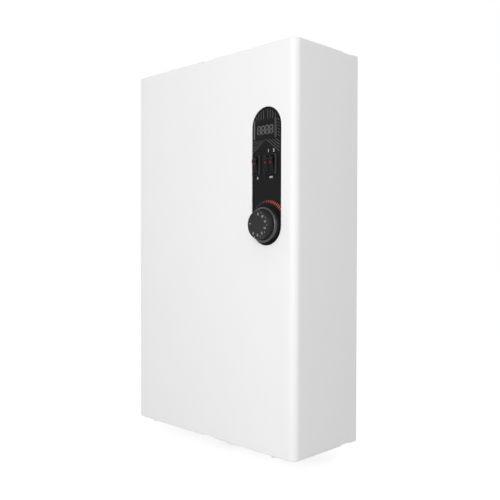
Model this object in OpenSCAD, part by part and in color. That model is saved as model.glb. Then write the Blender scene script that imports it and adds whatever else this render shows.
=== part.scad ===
// Wall-hung electric heating boiler: sheet casing, control panel, tank, pump and switchgear.
// Millimetres, +Z up. The wall is the plane y = 0, the front faces -Y, and the origin lies on the
// wall midway between the two hanging screws.

/* [Casing] */
// Width of the casing
case_w = 374; // [366:1:440]
// Depth from the wall to the front sheet
case_d = 152; // [150:1:190]
// Thickness of the cover's sheet
cover_sheet = 1; // [0.8:0.1:1.4]
// Outside radius of the cover's two upright bends
bend_r = 12; // [9:0.5:16]
// Outside radius of the folds along the top and bottom edges
fold_r = 2; // [1.6:0.1:2.4]
// Gap between the cover's back edge and the wall
wall_gap = 1.5; // [1:0.1:3]
// Running gap between the cover and the chassis inside it
cover_gap = 0.5; // [0.3:0.05:0.8]
// Width of the fold relief in the middle of the front edges
front_notch_w = 28; // [16:1:40]
// Width of the fold relief in the side edges
side_notch_w = 25; // [16:1:30]
// Distance from the wall to the nearer end of a side relief
side_notch_y = 16; // [10:1:22]
// Distance from the casing's side to the cover screw near it
cover_screw_side = 45; // [37:1:49]

/* [Chassis] */
// Thickness of the chassis sheet
chassis_sheet = 1.2; // [1:0.1:1.5]
// Depth of the rims of the top and bottom plates
rim_d = 12; // [9:1:14]
// Depth of the side lips of the back plate
lip_d = 18; // [12:1:22]
// Distance from the casing's top down to the hanging screws
hang_drop = 45; // [36:1:52]
// Distance between the hanging screws
hang_w = 240; // [232:1:248]
// Width of a keyhole's narrow slot
keyhole_slot_w = 6.5; // [5.5:0.1:7]
// Diameter of a keyhole's wide end
keyhole_d = 12; // [11:0.5:13]
// Distance from the casing's side to the lower wall screw near it
lower_screw_side = 27; // [24:1:32]
// Height of the lower wall screws above the casing's bottom
lower_screw_up = 45; // [34:1:50]
// Diameter of the lower wall screw holes
lower_hole_d = 7; // [5:0.1:8]
// Length of a vent slot
vent_len = 38; // [24:1:44]
// Width of a vent slot
vent_w = 3.6; // [2.5:0.1:4.5]
// Pitch of the vent slots
vent_pitch = 9; // [8:0.5:12]

/* [Control panel] */
// Distance of the panel's middle from the casing's right side
panel_side = 56.1; // [55.5:0.1:57.5]
// Distance of the panel's middle below the casing's top
panel_drop = 195.8; // [190:0.2:200]
// Width of the cover's panel window
window_w = 59.2; // [58:0.2:60]
// Height of the cover's panel window
window_h = 205.6; // [203:0.2:210]
// How far the fascia reaches behind the window's edge
fascia_margin = 5; // [4:0.5:6]
// Thickness of the fascia
fascia_t = 2; // [1.5:0.1:2.5]
// Width of the bracket's foot on the back plate
bracket_foot_w = 16; // [12:1:20]

/* [Display] */
// Width of the display's bezel
display_w = 46.4; // [44:0.2:47]
// Height of the display's bezel
display_h = 28.6; // [26:0.2:29]
// Distance of the display's middle below the window's upper end
display_end = 33; // [31:0.2:35]
// How far the display sits to the left of the panel's middle
display_left = 3; // [2.4:0.1:3.4]
// Thickness of the bezel in front of the fascia
display_t = 2.2; // [1.6:0.1:3]
// Width of the bezel's window
lcd_w = 34.6; // [30:0.2:36]
// Height of the bezel's window
lcd_h = 15.4; // [12:0.2:17]
// Depth of the display's body behind the fascia
display_d = 19; // [14:1:24]

/* [Switches] */
// Height of the switches above the panel's middle
switch_up = 17.2; // [16:0.2:18]
// How far the pump switch sits to the left of the panel's middle
single_left = 21.1; // [20.9:0.1:21.4]
// How far the stage switch sits to the right of the panel's middle
double_right = 6.9; // [6:0.1:7.6]
// Height of a switch's bezel
switch_h = 30; // [29:0.2:31]
// Width of the single switch's bezel
single_w = 14; // [13.4:0.1:14]
// Width of the double switch's bezel
double_w = 23.4; // [23:0.1:24]
// Thickness of a switch's bezel
switch_t = 2.5; // [2:0.1:2.8]
// Depth of a switch's body behind the fascia
switch_d = 20; // [17:1:24]
// Width of a rocker
key_w = 8.6; // [8:0.1:8.8]
// Distance between the two rockers' middles
key_pitch = 10.2; // [10:0.1:10.4]

/* [Thermostat] */
// Distance of the knob's axis above the window's lower end
knob_end = 30.7; // [29:0.1:32]
// Diameter of the knob's ribbed skirt
knob_d = 52.4; // [50:0.2:53]
// Diameter of the knob's face
knob_face_d = 42; // [40:0.2:43]
// Height of the knob
knob_h = 19.6; // [17:0.2:22]
// Height of the knob's skirt
skirt_h = 8.2; // [7:0.2:10]
// Ribs round the skirt
rib_count = 72; // [48:1:90]
// Diameter of the thermostat's spindle
spindle_d = 6; // [5:0.1:7]
// Diameter of the thermostat's metal cup
cup_d = 36; // [30:1:40]
// Diameter of the sensor bulbs
bulb_d = 6; // [5:0.1:6.5]
// Length of the sensor bulbs
bulb_len = 78; // [60:1:90]
// Diameter of the capillary tubes
capillary_d = 2; // [1.6:0.1:2.4]

/* [Heating tank] */
// Diameter of the tank
tank_d = 96; // [92:1:97]
// Wall thickness of the tank
tank_wall = 2; // [1.5:0.1:3]
// Length of the tank's shell
tank_len = 370; // [350:1:376]
// Distance of the tank's axis from the casing's left side
tank_side = 77; // [75:0.5:80]
// Gap between the tank and the wall
tank_wall_gap = 4; // [3.5:0.5:6]
// Height of the tank's foot above the casing's bottom
tank_up = 100; // [90:1:120]
// Distance from the casing's top down to the tank's top
tank_drop = 140; // [136:1:146]
// Diameter of the element flange's thread
flange_thread_d = 47.8; // [44:0.2:48]
// Diameter of an element's tube
element_d = 8.5; // [7:0.1:9]
// Length of the elements below the flange
element_len = 290; // [240:1:310]
// Distance from a leg of an element to the flange's axis
leg_r = 15.5; // [15:0.1:16.5]

/* [Piping] */
// Outside diameter of the copper pipes
pipe_d = 22; // [20:0.5:23]
// Wall thickness of the pipes
pipe_wall = 1.2; // [1:0.1:1.5]
// Diameter of the connection threads below the casing
stub_d = 26.4; // [26:0.1:27]
// Bore of the connections
stub_bore = 18; // [15:0.5:19]
// How far the connections reach below the bottom plate
stub_len = 27; // [24:1:30]
// Diameter of the connections where they pass the bottom plate
shank_d = 27.4; // [27:0.1:28]
// Width of the relief between a connection's thread and its locknut
relief_w = 1; // [0.8:0.1:1.5]
// Length of the pump from port to port
pump_len = 130; // [126:1:134]
// Height of the pump's middle above the casing's bottom
pump_up = 160; // [156:1:164]
// Centre-line radius of the supply pipe's bend
pipe_bend_r = 24; // [22:0.5:26]
// Distance from the tank's top down to the supply pipe
supply_down = 45; // [43:1:50]

/* [Pump] */
// Diameter of the pump's bolted flange
pump_flange_d = 92; // [88:1:94]
// Diameter of the motor's can
motor_d = 74; // [66:1:78]
// Gap between the motor and the casing's front
motor_gap = 10; // [8:0.5:16]
// Diameter of the impeller
impeller_d = 50; // [44:1:54]
// Vanes of the impeller
vane_count = 6; // [4:1:8]

/* [Hidden] */
// Overrun of every cut past the face that it leaves
cut = 1;
// Radial gap of a running or push fit
fit = 0.05;
// Gap between pieces that move past each other
gap = 0.35;
$fn = 48;

case_h = tank_drop + tank_len + tank_up;
case_top = hang_drop;
case_bottom = hang_drop - case_h;
front_y = -case_d;
cover_in = cover_sheet + cover_gap;
flange_w = bend_r - cover_sheet;
chassis_x = case_w / 2 - cover_in;
chassis_y = front_y + cover_in;
chassis_top = case_top - cover_in;
chassis_bottom = case_bottom + cover_in;
chassis_r = bend_r - cover_in;
floor_z = chassis_bottom + chassis_sheet;
wall_y = -chassis_sheet;

cover_screw_x = case_w / 2 - cover_screw_side;
lower_screw_x = case_w / 2 - lower_screw_side;

panel_x = case_w / 2 - panel_side;
panel_z = case_top - panel_drop;
fascia_y = front_y + cover_in;
fascia_back = fascia_y + fascia_t;
fascia_w = window_w + 2 * fascia_margin;
fascia_h = window_h + 2 * fascia_margin;
bracket_back = fascia_back + chassis_sheet;
bracket_x = panel_x + fascia_w / 2 + 3 * fascia_margin;
bracket_left = panel_x - fascia_w / 2 - fascia_margin;
stud_d = 3;
stud_len = 7;
stud_x = (window_w + fascia_margin) / 2;
stud_z = window_h / 4;
nut_af = 5.5;
nut_h = 2.4;

display_x = panel_x - display_left;
display_z = panel_z + window_h / 2 - display_end;
display_rim = 1.6;
display_bevel_w = 3.4;
display_bevel_h = 1;
glass_t = 1;
glass_lap = 1.2;
pcb_t = 1.6;
lcd_t = 3;
tab_w = 2.8;
tab_t = 0.8;
tab_len = 6;

switch_z = panel_z + switch_up;
single_x = panel_x - single_left;
double_x = panel_x + double_right;
switch_rim = 1;
pocket_h = switch_h - 4.4 * switch_rim;
pocket_w = key_w + 2 * 0.85 * gap;
pocket_d = 12;
pivot_in = 1.5;
key_y = fascia_y + pivot_in;
key_r = pocket_h / 2 - gap;
trunnion_d = 2;
trunnion_len = 0.4;
lens_w = 4.6;
lens_h = 3;
lens_t = 2;
lens_proud = 0.3;
lens_up = 2.2;
lens_tilt = 16;
// The rocker's outline: depth in front of the pivot and height, as shares of its radius
key_outline_share = [
    [0.24, -0.66], [-0.34, -1.0], [-0.4, -0.86], [-0.5, -0.15], [-0.56, 0.12], [-0.66, 0.46],
    [-0.66, 0.56], [-0.58, 0.72], [-0.5, 0.95], [0.24, 0.66]];

knob_z = panel_z - window_h / 2 + knob_end;
knob_y = fascia_y - cover_gap;
// Turn by which an element bend runs on into its legs
bend_lap = 2;
rib_r = 0.55;
skirt_round = 2.2;
rim_t = 2.6;
face_round = 1;
groove_w = 1;
knob_wall = 2.2;
hub_d = 13;
thermostat_w = 44;
thermostat_h = 34;
thermostat_t = 12;
cup_t = 13;
spindle_in = 10;
spindle_out = knob_h - 2 * knob_wall;
spindle_flat = 0.9;
screw_d = 4;
screw_head_d = 7;
screw_head_h = 2.6;
thermostat_screw_x = 14;

tank_x = tank_side - case_w / 2;
tank_r = tank_d / 2;
pipe_y = tank_r + tank_wall_gap;
axis_y = -pipe_y;
tank_top = case_top - tank_drop;
tank_bottom = tank_top - tank_len;
knuckle_r = 7;
collar_wall = 4.5;
collar_d = flange_thread_d + 2 * collar_wall;
collar_h = 18;
collar_top = tank_top + collar_h;
flange_hex = 55;
flange_hex_h = 9;
flange_skirt_h = 15;
gasket_t = 2;
flange_top = collar_top + gasket_t + flange_hex_h;
insulator_d = 11;
insulator_h = 7;
stud_m4 = 4;
stud_up = 24;
m4_af = 7;
m4_h = 3.2;
bridge_t = 1;
pocket_inset = 10;
pocket_r = tank_r - pocket_inset;
pocket_gap = 0.3;
pocket_wall = 1.2;
pocket_bore_d = bulb_d + 2 * pocket_gap;
pocket_tube_d = pocket_bore_d + 2 * pocket_wall;
pocket_up = 8;
pocket_tip = 6;
pocket_len = bulb_len + pocket_up + pocket_tip;
clamp_t = 1.5;
clamp_h = 20;
clamp_ear = 13;
clamp_slit = 4;
clamp_foot_w = 70;
clamp_inset = 60;
CLAMP_Z = [tank_bottom + clamp_inset, tank_top - supply_down - clamp_inset];

port_d = 33.2;
port_len = 15;
port_bore = 19;
collar_t = 3;
pipe_collar_d = 29;
union_af = 41;
union_lip = 3;
union_grip = 9;
union_seat = gasket_t + collar_t;
return_port_z = tank_bottom - port_len;
supply_z = tank_top - supply_down;
supply_port_x = tank_x + tank_r + port_len;
contactor_w = 44.6;
contactor_gap = 0.4;
contactor_side_gap = 2;
contactor_step = contactor_w + contactor_gap;
contactor_x0 = tank_x + tank_r + contactor_side_gap;
contactor_x1 = contactor_x0 + contactor_step + contactor_w;
vent_d = 21;
vent_side_gap = 3.9;
vent_shift = 2;
vent_x = contactor_x1 + vent_side_gap + vent_d / 2;
pump_x = vent_x + vent_shift + pipe_bend_r;
pump_z = case_bottom + pump_up;
pump_top = pump_z + pump_len / 2;
pump_foot = pump_z - pump_len / 2;
stub_end = chassis_bottom - stub_len;
locknut_af = 36;
locknut_h = 5;
shank_z = chassis_bottom - locknut_h;
stub_collar_d = 36;
stub_collar_h = 6;
vent_boss_d = 17;
vent_boss_up = 18;
branch_up = 34;
branch_z = floor_z + branch_up;
branch_d = 20;
branch_out = 19;

volute_d = 76;
volute_back = 18;
volute_front = 14;
chamber_gap = 3;
chamber_d = impeller_d + 2 * chamber_gap;
flange_t = 6;
motor_flange_y = axis_y - volute_front;
motor_front = front_y + motor_gap;
motor_wall = 8;
can_bore = 44;
rotor_d = 40;
shaft_d = 8;
fin_count = 16;
fin_w = 2;
fin_out = 2.5;
bolt_d = 5;
bolt_head_d = 8.5;
bolt_head_h = 5;
bolt_inset = 6.5;
bolt_ring_r = pump_flange_d / 2 - bolt_inset;
plug_d = 16;
plug_h = 3;
box_w = 30;
box_h = 56;
box_inset = 16;
box_front = motor_front + box_inset;
box_back = motor_flange_y - flange_t - bolt_head_h - cut;
box_wall = 2;
speed_d = 19;
speed_t = 7;
speed_stem_d = 6;

valve_d = 25;
valve_len = 25;
valve_x = tank_x + branch_out;
valve_cap_d = 30;
valve_cap_len = 17;
spigot_d = 15;
spigot_bore = 10;
spigot_down = 10;
vent_h = 46;
vent_hex = 17;
vent_hex_h = 7;

limiter_side = 31;
limiter_x = limiter_side - case_w / 2;
limiter_wall_gap = 79;
limiter_w = 34;
limiter_h = 26;
limiter_y = -limiter_wall_gap - limiter_w / 2;
limiter_neck_d = 10;
limiter_neck = 7;
limiter_nut_af = 14;
reset_d = 5;
reset_proud = 3;
reset_travel = 2;
reset_flange_d = 7;

rail_w = 35;
rail_d = 7.5;
rail_t = 1;
rail_z = -62;
rail_foot = 25;
rail_end = 14;
rail_far_end = 4.4;
rail_rivet_in = 5;
rail_x0 = contactor_x0 - rail_end;
rail_x1 = contactor_x1 + rail_far_end;
contactor_h = 82;
contactor_step_d = 44;
contactor_nose_d = 60;
contactor_nose_h = 45;
indicator_w = 9;
indicator_h = 6;
indicator_d = 12;
indicator_proud = 3;
armature_travel = 3;
cell_count = 4;
cell_edge = 1.5;
screw_cell = (contactor_w - 2 * cell_edge) / cell_count;
terminal_screw_d = 5;
terminal_screw_h = 2;
block_poles = 5;
block_pitch = 12;
block_h = 24;
block_d = 26;
block_step_d = 15;
block_up = 36;
block_z = branch_z + block_up;
block_side_gap = 26;
block_x0 = tank_x + tank_r + block_side_gap;
block_x1 = block_x0 + block_poles * block_pitch;
earth_side_gap = 10;
earth_x = block_x1 + earth_side_gap;
earth_up = 26;
earth_z = chassis_bottom + earth_up;
earth_d = 6;
earth_len = 16;
washer_d = 14;
washer_t = 1.4;

gland_x = (block_x0 + block_x1) / 2;
gland_front = 36;
gland_y = axis_y - gland_front;
gland_d = 25;
gland_af = 30;
gland_bore = 15;
gland_hex_h = 6;
gland_dome_h = 18;
gland_dome_d = 27;
gland_nut_h = 5;
gland_in = 9;

rivet_d = 3.2;
rivet_head_d = 6.5;
rivet_head_h = 1.1;
RIVET_X_share = [-0.86, -0.3, 0.3, 0.86];
BRACKET_RIVET_share = [-0.42, 0, 0.42];

tube_sides = 8;
bend_steps = 4;

// Plain shapes between two corners or two stations
module block(lo, hi) { translate(lo) cube(hi - lo); }
module rod_z(r, z0, z1) { translate([0, 0, z0]) cylinder(r = r, h = z1 - z0); }
module rod_y(r, y0, y1) { translate([0, y1, 0]) rotate([90, 0, 0]) cylinder(r = r, h = y1 - y0); }
module rod_x(r, x0, x1) { translate([x0, 0, 0]) rotate([0, 90, 0]) cylinder(r = r, h = x1 - x0); }
module hex_z(af, z0, z1) { translate([0, 0, z0]) cylinder(r = af / 2 / cos(30), h = z1 - z0, $fn = 6); }

// An upright stadium, w wide and h high, through the front from y0 to y1
module stadium_y(w, h, y0, y1) {
    block([-w / 2, y0, w / 2 - h / 2], [w / 2, y1, h / 2 - w / 2]);
    for (z = [w / 2 - h / 2, h / 2 - w / 2]) translate([0, 0, z]) rod_y(w / 2, y0, y1);
}

// A slot through a horizontal plate, round at both ends, along y
module slot_z(w, len, z0, z1) {
    block([-w / 2, w / 2 - len / 2, z0], [w / 2, len / 2 - w / 2, z1]);
    for (y = [w / 2 - len / 2, len / 2 - w / 2]) translate([0, y, 0]) rod_z(w / 2, z0, z1);
}

// A rectangle whose two right-hand corners are round
module soft_right(left, right, bottom, top, r) {
    translate([left, bottom]) square([right - r - left, top - bottom]);
    translate([right - r, bottom + r]) square([r, top - bottom - 2 * r]);
    for (v = [bottom + r, top - r]) translate([right - r, v]) circle(r);
}

// A hollow round bar on the z axis
module tube_z(ro, ri, z0, z1) {
    difference() {
        rod_z(ro, z0, z1);
        rod_z(ri, z0 - cut, z1 + cut);
    }
}

// Casing cover

// Section through a wall of the cover with its folds, outer face at x = 0
module fold_profile() {
    difference() {
        soft_right(-flange_w, 0, case_bottom, case_top, fold_r);
        soft_right(-flange_w - cut, -cover_sheet, case_bottom + cover_sheet,
            case_top - cover_sheet, fold_r - cover_sheet);
    }
}

module cover_shell() {
    straight_w = case_w - 2 * bend_r;
    translate([-straight_w / 2, front_y, 0]) rotate([90, 0, 90])
        linear_extrude(straight_w) mirror([1, 0]) fold_profile();
    for (side = [0, 1]) mirror([side, 0, 0]) {
        translate([case_w / 2, -wall_gap, 0]) rotate([90, 0, 0])
            linear_extrude(case_d - bend_r - wall_gap) fold_profile();
        translate([straight_w / 2, front_y + bend_r, 0]) rotate([0, 0, -90])
            rotate_extrude(angle = 90) translate([bend_r, 0]) fold_profile();
    }
}

module cover_notches() {
    for (z = [case_bottom - cut, case_top - fold_r]) {
        block([-front_notch_w / 2, front_y - cut, z],
            [front_notch_w / 2, front_y + flange_w + cut, z + fold_r + cut]);
        for (side = [0, 1]) mirror([side, 0, 0])
            block([case_w / 2 - flange_w - cut, -side_notch_y - side_notch_w, z],
                [case_w / 2 + cut, -side_notch_y, z + fold_r + cut]);
    }
}

cover_screw_y = front_y + cover_sheet + (flange_w - cover_sheet) / 2;

module front_cover() {
    color("whitesmoke") difference() {
        cover_shell();
        cover_notches();
        translate([panel_x, 0, panel_z])
            stadium_y(window_w, window_h, front_y - cut, front_y + cover_sheet + cut);
        for (x = [-cover_screw_x, cover_screw_x]) translate([x, cover_screw_y, 0])
            rod_z(screw_d / 2 + fit, case_bottom - cut, case_bottom + cover_sheet + cut);
    }
}

// Pan-head screws under the cover's bottom fold, each in a nut above the bottom plate
module cover_screws() {
    nut_z = floor_z + gap;
    color("silver") for (x = [-cover_screw_x, cover_screw_x]) translate([x, cover_screw_y, 0]) {
        rod_z(screw_d / 2, case_bottom - fit, nut_z + m4_h);
        difference() {
            rod_z(screw_head_d / 2, case_bottom - screw_head_h, case_bottom);
            block([-screw_head_d, -tab_t / 2, case_bottom - screw_head_h - cut],
                [screw_head_d, tab_t / 2, case_bottom - screw_head_h / 2]);
        }
        hex_z(m4_af, nut_z, nut_z + m4_h);
    }
}

// Chassis

// Outline of the top and bottom plates, drawn in by inset
module plate_outline(inset) {
    x = chassis_x - inset;
    y0 = chassis_y + inset;
    y1 = wall_y - inset;
    r = chassis_r - inset;
    translate([-x, y0 + r]) square([2 * x, y1 - y0 - r]);
    translate([-x + r, y0]) square([2 * (x - r), r]);
    for (s = [-1, 1]) translate([s * (x - r), y0 + r]) circle(r);
}

// A plate with a rim all round that points up, its lower face at z = 0
module rimmed_plate() {
    difference() {
        linear_extrude(rim_d) plate_outline(0);
        translate([0, 0, chassis_sheet]) linear_extrude(rim_d) plate_outline(chassis_sheet);
    }
}

module rivet_holes(z) {
    for (s = RIVET_X_share) translate([s * chassis_x, 0, z])
        rod_y(rivet_d / 2 + fit, wall_y - chassis_sheet - cut, cut);
}

bracket_foot_x = bracket_x - bracket_foot_w / 2;

module bracket_rivets(y0, y1, r) {
    for (s = BRACKET_RIVET_share) translate([bracket_foot_x, 0, panel_z + s * fascia_h]) rod_y(r, y0, y1);
}

module keyhole() {
    rod_y(keyhole_slot_w / 2, wall_y - cut, cut);
    translate([0, 0, -keyhole_d]) {
        rod_y(keyhole_d / 2, wall_y - cut, cut);
        block([-keyhole_slot_w / 2, wall_y - cut, 0], [keyhole_slot_w / 2, cut, keyhole_d]);
    }
}

module back_plate() {
    lip_z0 = chassis_bottom + rim_d + cover_gap;
    lip_z1 = chassis_top - rim_d - cover_gap;
    color("silver") difference() {
        union() {
            block([-chassis_x, wall_y, chassis_bottom], [chassis_x, 0, chassis_top]);
            for (side = [0, 1]) mirror([side, 0, 0])
                block([chassis_x - chassis_sheet, wall_y - lip_d, lip_z0], [chassis_x, 0, lip_z1]);
        }
        for (x = [-hang_w / 2, hang_w / 2]) translate([x, 0, 0]) keyhole();
        for (x = [-lower_screw_x, lower_screw_x])
            translate([x, 0, case_bottom + lower_screw_up]) rod_y(lower_hole_d / 2, wall_y - cut, cut);
        rivet_holes(chassis_top - rim_d / 2);
        rivet_holes(chassis_bottom + rim_d / 2);
        bracket_rivets(wall_y - cut, cut, rivet_d / 2 + fit);
        for (x = RAIL_SCREW_X) translate([x, 0, rail_z]) rod_y(rivet_d / 2 + fit, wall_y - cut, cut);
    }
}

module vent_row(count, x, y, z0, z1) {
    for (i = [0 : count - 1])
        translate([x + (i - (count - 1) / 2) * vent_pitch, y, 0]) slot_z(vent_w, vent_len, z0, z1);
}

module top_plate() {
    vents = floor(1.6 * chassis_x / vent_pitch);
    color("silver") difference() {
        translate([0, 0, chassis_top]) mirror([0, 0, 1]) rimmed_plate();
        for (y = [axis_y + vent_len / 2 - vent_w, axis_y - vent_len / 2 - 2 * vent_w])
            vent_row(vents, 0, y, chassis_top - chassis_sheet - cut, chassis_top + cut);
        rivet_holes(chassis_top - rim_d / 2);
    }
}

module bottom_plate() {
    z0 = chassis_bottom - cut;
    z1 = floor_z + cut;
    color("silver") difference() {
        translate([0, 0, chassis_bottom]) rimmed_plate();
        for (x = [tank_x, pump_x]) translate([x, axis_y, 0]) rod_z(shank_d / 2 + gap, z0, z1);
        translate([valve_mid_x, axis_y, 0]) rod_z(spigot_d / 2 + gap, z0, z1);
        translate([gland_x, gland_y, 0]) rod_z(gland_d / 2 + fit, z0, z1);
        translate([limiter_x, limiter_y, 0]) rod_z(limiter_neck_d / 2 + fit, z0, z1);
        vent_row(floor((chassis_x - pump_x) / 1.4 / vent_pitch), (chassis_x + pump_x) / 2 + vent_pitch,
            axis_y, z0, z1);
        for (x = [-cover_screw_x, cover_screw_x])
            block([x - screw_d / 2 - gap, chassis_y - cut, z0],
                [x + screw_d / 2 + gap, cover_screw_y + screw_d / 2 + gap, z1 + rim_d]);
        for (x = [-cover_screw_x, cover_screw_x])
            block([x - m4_af, chassis_y - cut, floor_z], [x + m4_af, chassis_y + chassis_sheet + cut,
                z1 + rim_d]);
        rivet_holes(chassis_bottom + rim_d / 2);
    }
}

// Flush-set rivets that hold the plates, the bracket's foot and the rail to the back plate
module rivet(seat_y) {
    rod_y(rivet_d / 2, seat_y, 0);
    rod_y(rivet_head_d / 2, seat_y - rivet_head_h, seat_y);
}

module chassis_rivets() {
    sheet_face = wall_y - chassis_sheet;
    color("gainsboro") {
        for (s = RIVET_X_share, z = [chassis_top - rim_d / 2, chassis_bottom + rim_d / 2])
            translate([s * chassis_x, 0, z]) rivet(sheet_face);
        for (s = BRACKET_RIVET_share) translate([bracket_foot_x, 0, panel_z + s * fascia_h])
            rivet(sheet_face);
        for (x = RAIL_SCREW_X) translate([x, 0, rail_z]) rivet(wall_y - rail_t);
    }
}

// Control panel

// Every opening that the panel's pieces pass through, from y0 to y1, opened by ease all round
module panel_openings(y0, y1, ease) {
    translate([display_x, 0, display_z])
        block([-display_w / 2 + display_rim - ease, y0, -display_h / 2 + display_rim - ease],
            [display_w / 2 - display_rim + ease, y1, display_h / 2 - display_rim + ease]);
    for (s = [[single_x, single_w], [double_x, double_w]]) translate([s[0], 0, switch_z])
        block([-s[1] / 2 + switch_rim - ease, y0, -switch_h / 2 + switch_rim - ease],
            [s[1] / 2 - switch_rim + ease, y1, switch_h / 2 - switch_rim + ease]);
    translate([panel_x, 0, knob_z]) {
        rod_y(spindle_d / 2 + cut, y0, y1);
        for (x = [-thermostat_screw_x, thermostat_screw_x]) translate([x, 0, 0])
            rod_y(screw_d / 2 + fit, y0, y1);
    }
}

module stud_places() {
    for (x = [-stud_x, stud_x], z = [-stud_z, stud_z]) translate([panel_x + x, 0, panel_z + z]) children();
}

module panel_bracket() {
    z0 = panel_z - fascia_h / 2 - fascia_margin;
    z1 = panel_z + fascia_h / 2 + fascia_margin;
    web_mid = (wall_y + fascia_back) / 2;
    web_hole_w = pipe_y / 2;
    color("silver") difference() {
        union() {
            block([bracket_x - bracket_foot_w, wall_y - chassis_sheet, z0], [bracket_x, wall_y, z1]);
            block([bracket_x - chassis_sheet, fascia_back, z0], [bracket_x, wall_y, z1]);
            block([bracket_left, fascia_back, z0], [bracket_x, bracket_back, z1]);
        }
        panel_openings(fascia_back - cut, bracket_back + cut, fascia_margin / 10);
        stud_places() rod_y(stud_d / 2 + fit, fascia_back - cut, bracket_back + cut);
        bracket_rivets(wall_y - chassis_sheet - cut, wall_y + cut, rivet_d / 2 + fit);
        for (z = [-stud_z, stud_z])
            translate([bracket_x, web_mid, panel_z + z]) rotate([0, 0, 90])
                stadium_y(web_hole_w, 2 * web_hole_w, -cut, chassis_sheet + cut);
    }
}

module fascia_plate() {
    color("#202124") {
        difference() {
            translate([panel_x, 0, panel_z]) stadium_y(fascia_w, fascia_h, fascia_y, fascia_back);
            panel_openings(fascia_y - cut, fascia_back + cut, fit);
        }
        stud_places() rod_y(stud_d / 2, fascia_back - fit, bracket_back + stud_len);
    }
}

module fascia_nuts() {
    color("silver") stud_places() rotate([90, 0, 0]) translate([0, 0, -bracket_back - nut_h])
        difference() {
            hex_z(nut_af, 0, nut_h);
            rod_z(stud_d / 2 + fit, -cut, nut_h + cut);
        }
}

// Display

module display_bezel() {
    face = fascia_y - display_t;
    w = display_w / 2;
    h = display_h / 2;
    body_w = w - display_rim;
    body_h = h - display_rim;
    shoulder = face + display_bevel_h;
    back = fascia_back + display_d;
    color("#18191b") translate([display_x, 0, display_z]) difference() {
        union() {
            translate([0, 0, -h]) linear_extrude(display_h) polygon([[-w, fascia_y], [-w, shoulder],
                [-w + display_bevel_w, face], [w - display_bevel_w, face], [w, shoulder], [w, fascia_y]]);
            block([-body_w, fascia_y - fit, -body_h], [body_w, back, body_h]);
        }
        block([-lcd_w / 2, face - cut, -lcd_h / 2], [lcd_w / 2, fascia_y, lcd_h / 2]);
        block([-lcd_w / 2 - glass_lap, fascia_y - glass_t, -lcd_h / 2 - glass_lap],
            [lcd_w / 2 + glass_lap, back + cut, lcd_h / 2 + glass_lap]);
    }
}

module display_glass() {
    w = lcd_w / 2 + glass_lap - fit;
    h = lcd_h / 2 + glass_lap - fit;
    color("dimgray") translate([display_x, 0, display_z])
        block([-w, fascia_y - glass_t, -h], [w, fascia_y, h]);
}

// The liquid-crystal cell on its circuit board, with a terminal strip at the back
module display_module() {
    w = lcd_w / 2 + glass_lap - fit;
    h = lcd_h / 2 + glass_lap - fit;
    cell_back = fascia_y + lcd_t;
    board_back = fascia_back + display_d - display_rim;
    color("darkslategray") translate([display_x, 0, display_z]) {
        block([-w, fascia_y, -h], [w, cell_back, h]);
        block([-lcd_w / 2, cell_back, -pcb_t / 2], [lcd_w / 2, board_back, pcb_t / 2]);
        block([-lcd_h / 2, board_back - tab_len, pcb_t / 2], [lcd_h / 2, board_back, lcd_h / 2 - pcb_t]);
    }
}

// Switches

// Bezel, body and tabs of a switch whose rockers stand at the offsets in keys
module switch_body(width, keys) {
    face = fascia_y - switch_t;
    back = fascia_back + switch_d;
    w = width / 2 - switch_rim;
    h = switch_h / 2 - switch_rim;
    difference() {
        union() {
            block([-width / 2, face, -switch_h / 2], [width / 2, fascia_y, switch_h / 2]);
            block([-w, fascia_y - fit, -h], [w, back, h]);
        }
        for (x = keys) {
            block([x - pocket_w / 2, face - cut, -pocket_h / 2],
                [x + pocket_w / 2, face + pocket_d, pocket_h / 2]);
            translate([0, key_y, 0]) rod_x(trunnion_d / 2 + fit,
                x - key_w / 2 - gap - trunnion_len, x + key_w / 2 + gap + trunnion_len);
        }
    }
    for (x = keys, z = [-pocket_h / 3, 0, pocket_h / 3])
        block([x - tab_w / 2, back - fit, z - tab_t / 2], [x + tab_w / 2, back + tab_len, z + tab_t / 2]);
}

module single_switch_body() {
    color("#1b1c1e") translate([single_x, 0, switch_z]) switch_body(single_w, [0]);
}

module double_switch_body() {
    color("#1b1c1e") translate([double_x, 0, switch_z])
        switch_body(double_w, [-key_pitch / 2, key_pitch / 2]);
}

// The lens's bar in the rocker's face, grown by ease
module lens_bar(ease) {
    face = -key_r * 0.575;
    translate([0, face, lens_up]) rotate([lens_tilt, 0, 0])
        block([-lens_w / 2 - ease, -lens_proud, -lens_h / 2 - ease],
            [lens_w / 2 + ease, lens_t + ease, lens_h / 2 + ease]);
}

module rocker_at(x) {
    translate([x, key_y, switch_z]) difference() {
        union() {
            translate([-key_w / 2, 0, 0]) rotate([90, 0, 90]) linear_extrude(key_w) intersection() {
                polygon([for (p = key_outline_share) key_r * p]);
                circle(key_r);
            }
            rod_x(trunnion_d / 2, -key_w / 2 - gap - trunnion_len + fit, key_w / 2 + gap + trunnion_len - fit);
        }
        lens_bar(fit);
    }
}

module lens_at(x) { translate([x, key_y, switch_z]) lens_bar(0); }

module pump_rocker() { color("#141516") rocker_at(single_x); }
module stage_1_rocker() { color("#141516") rocker_at(double_x - key_pitch / 2); }
module stage_2_rocker() { color("#141516") rocker_at(double_x + key_pitch / 2); }
module pump_lens() { color("#9c1c28") lens_at(single_x); }
module stage_1_lens() { color("#9c1c28") lens_at(double_x - key_pitch / 2); }
module stage_2_lens() { color("#9c1c28") lens_at(double_x + key_pitch / 2); }

// Thermostat

// Turns z into the direction out of the panel, at the knob's axis
module on_knob(y) { translate([panel_x, y, knob_z]) rotate([90, 0, 0]) children(); }

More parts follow.
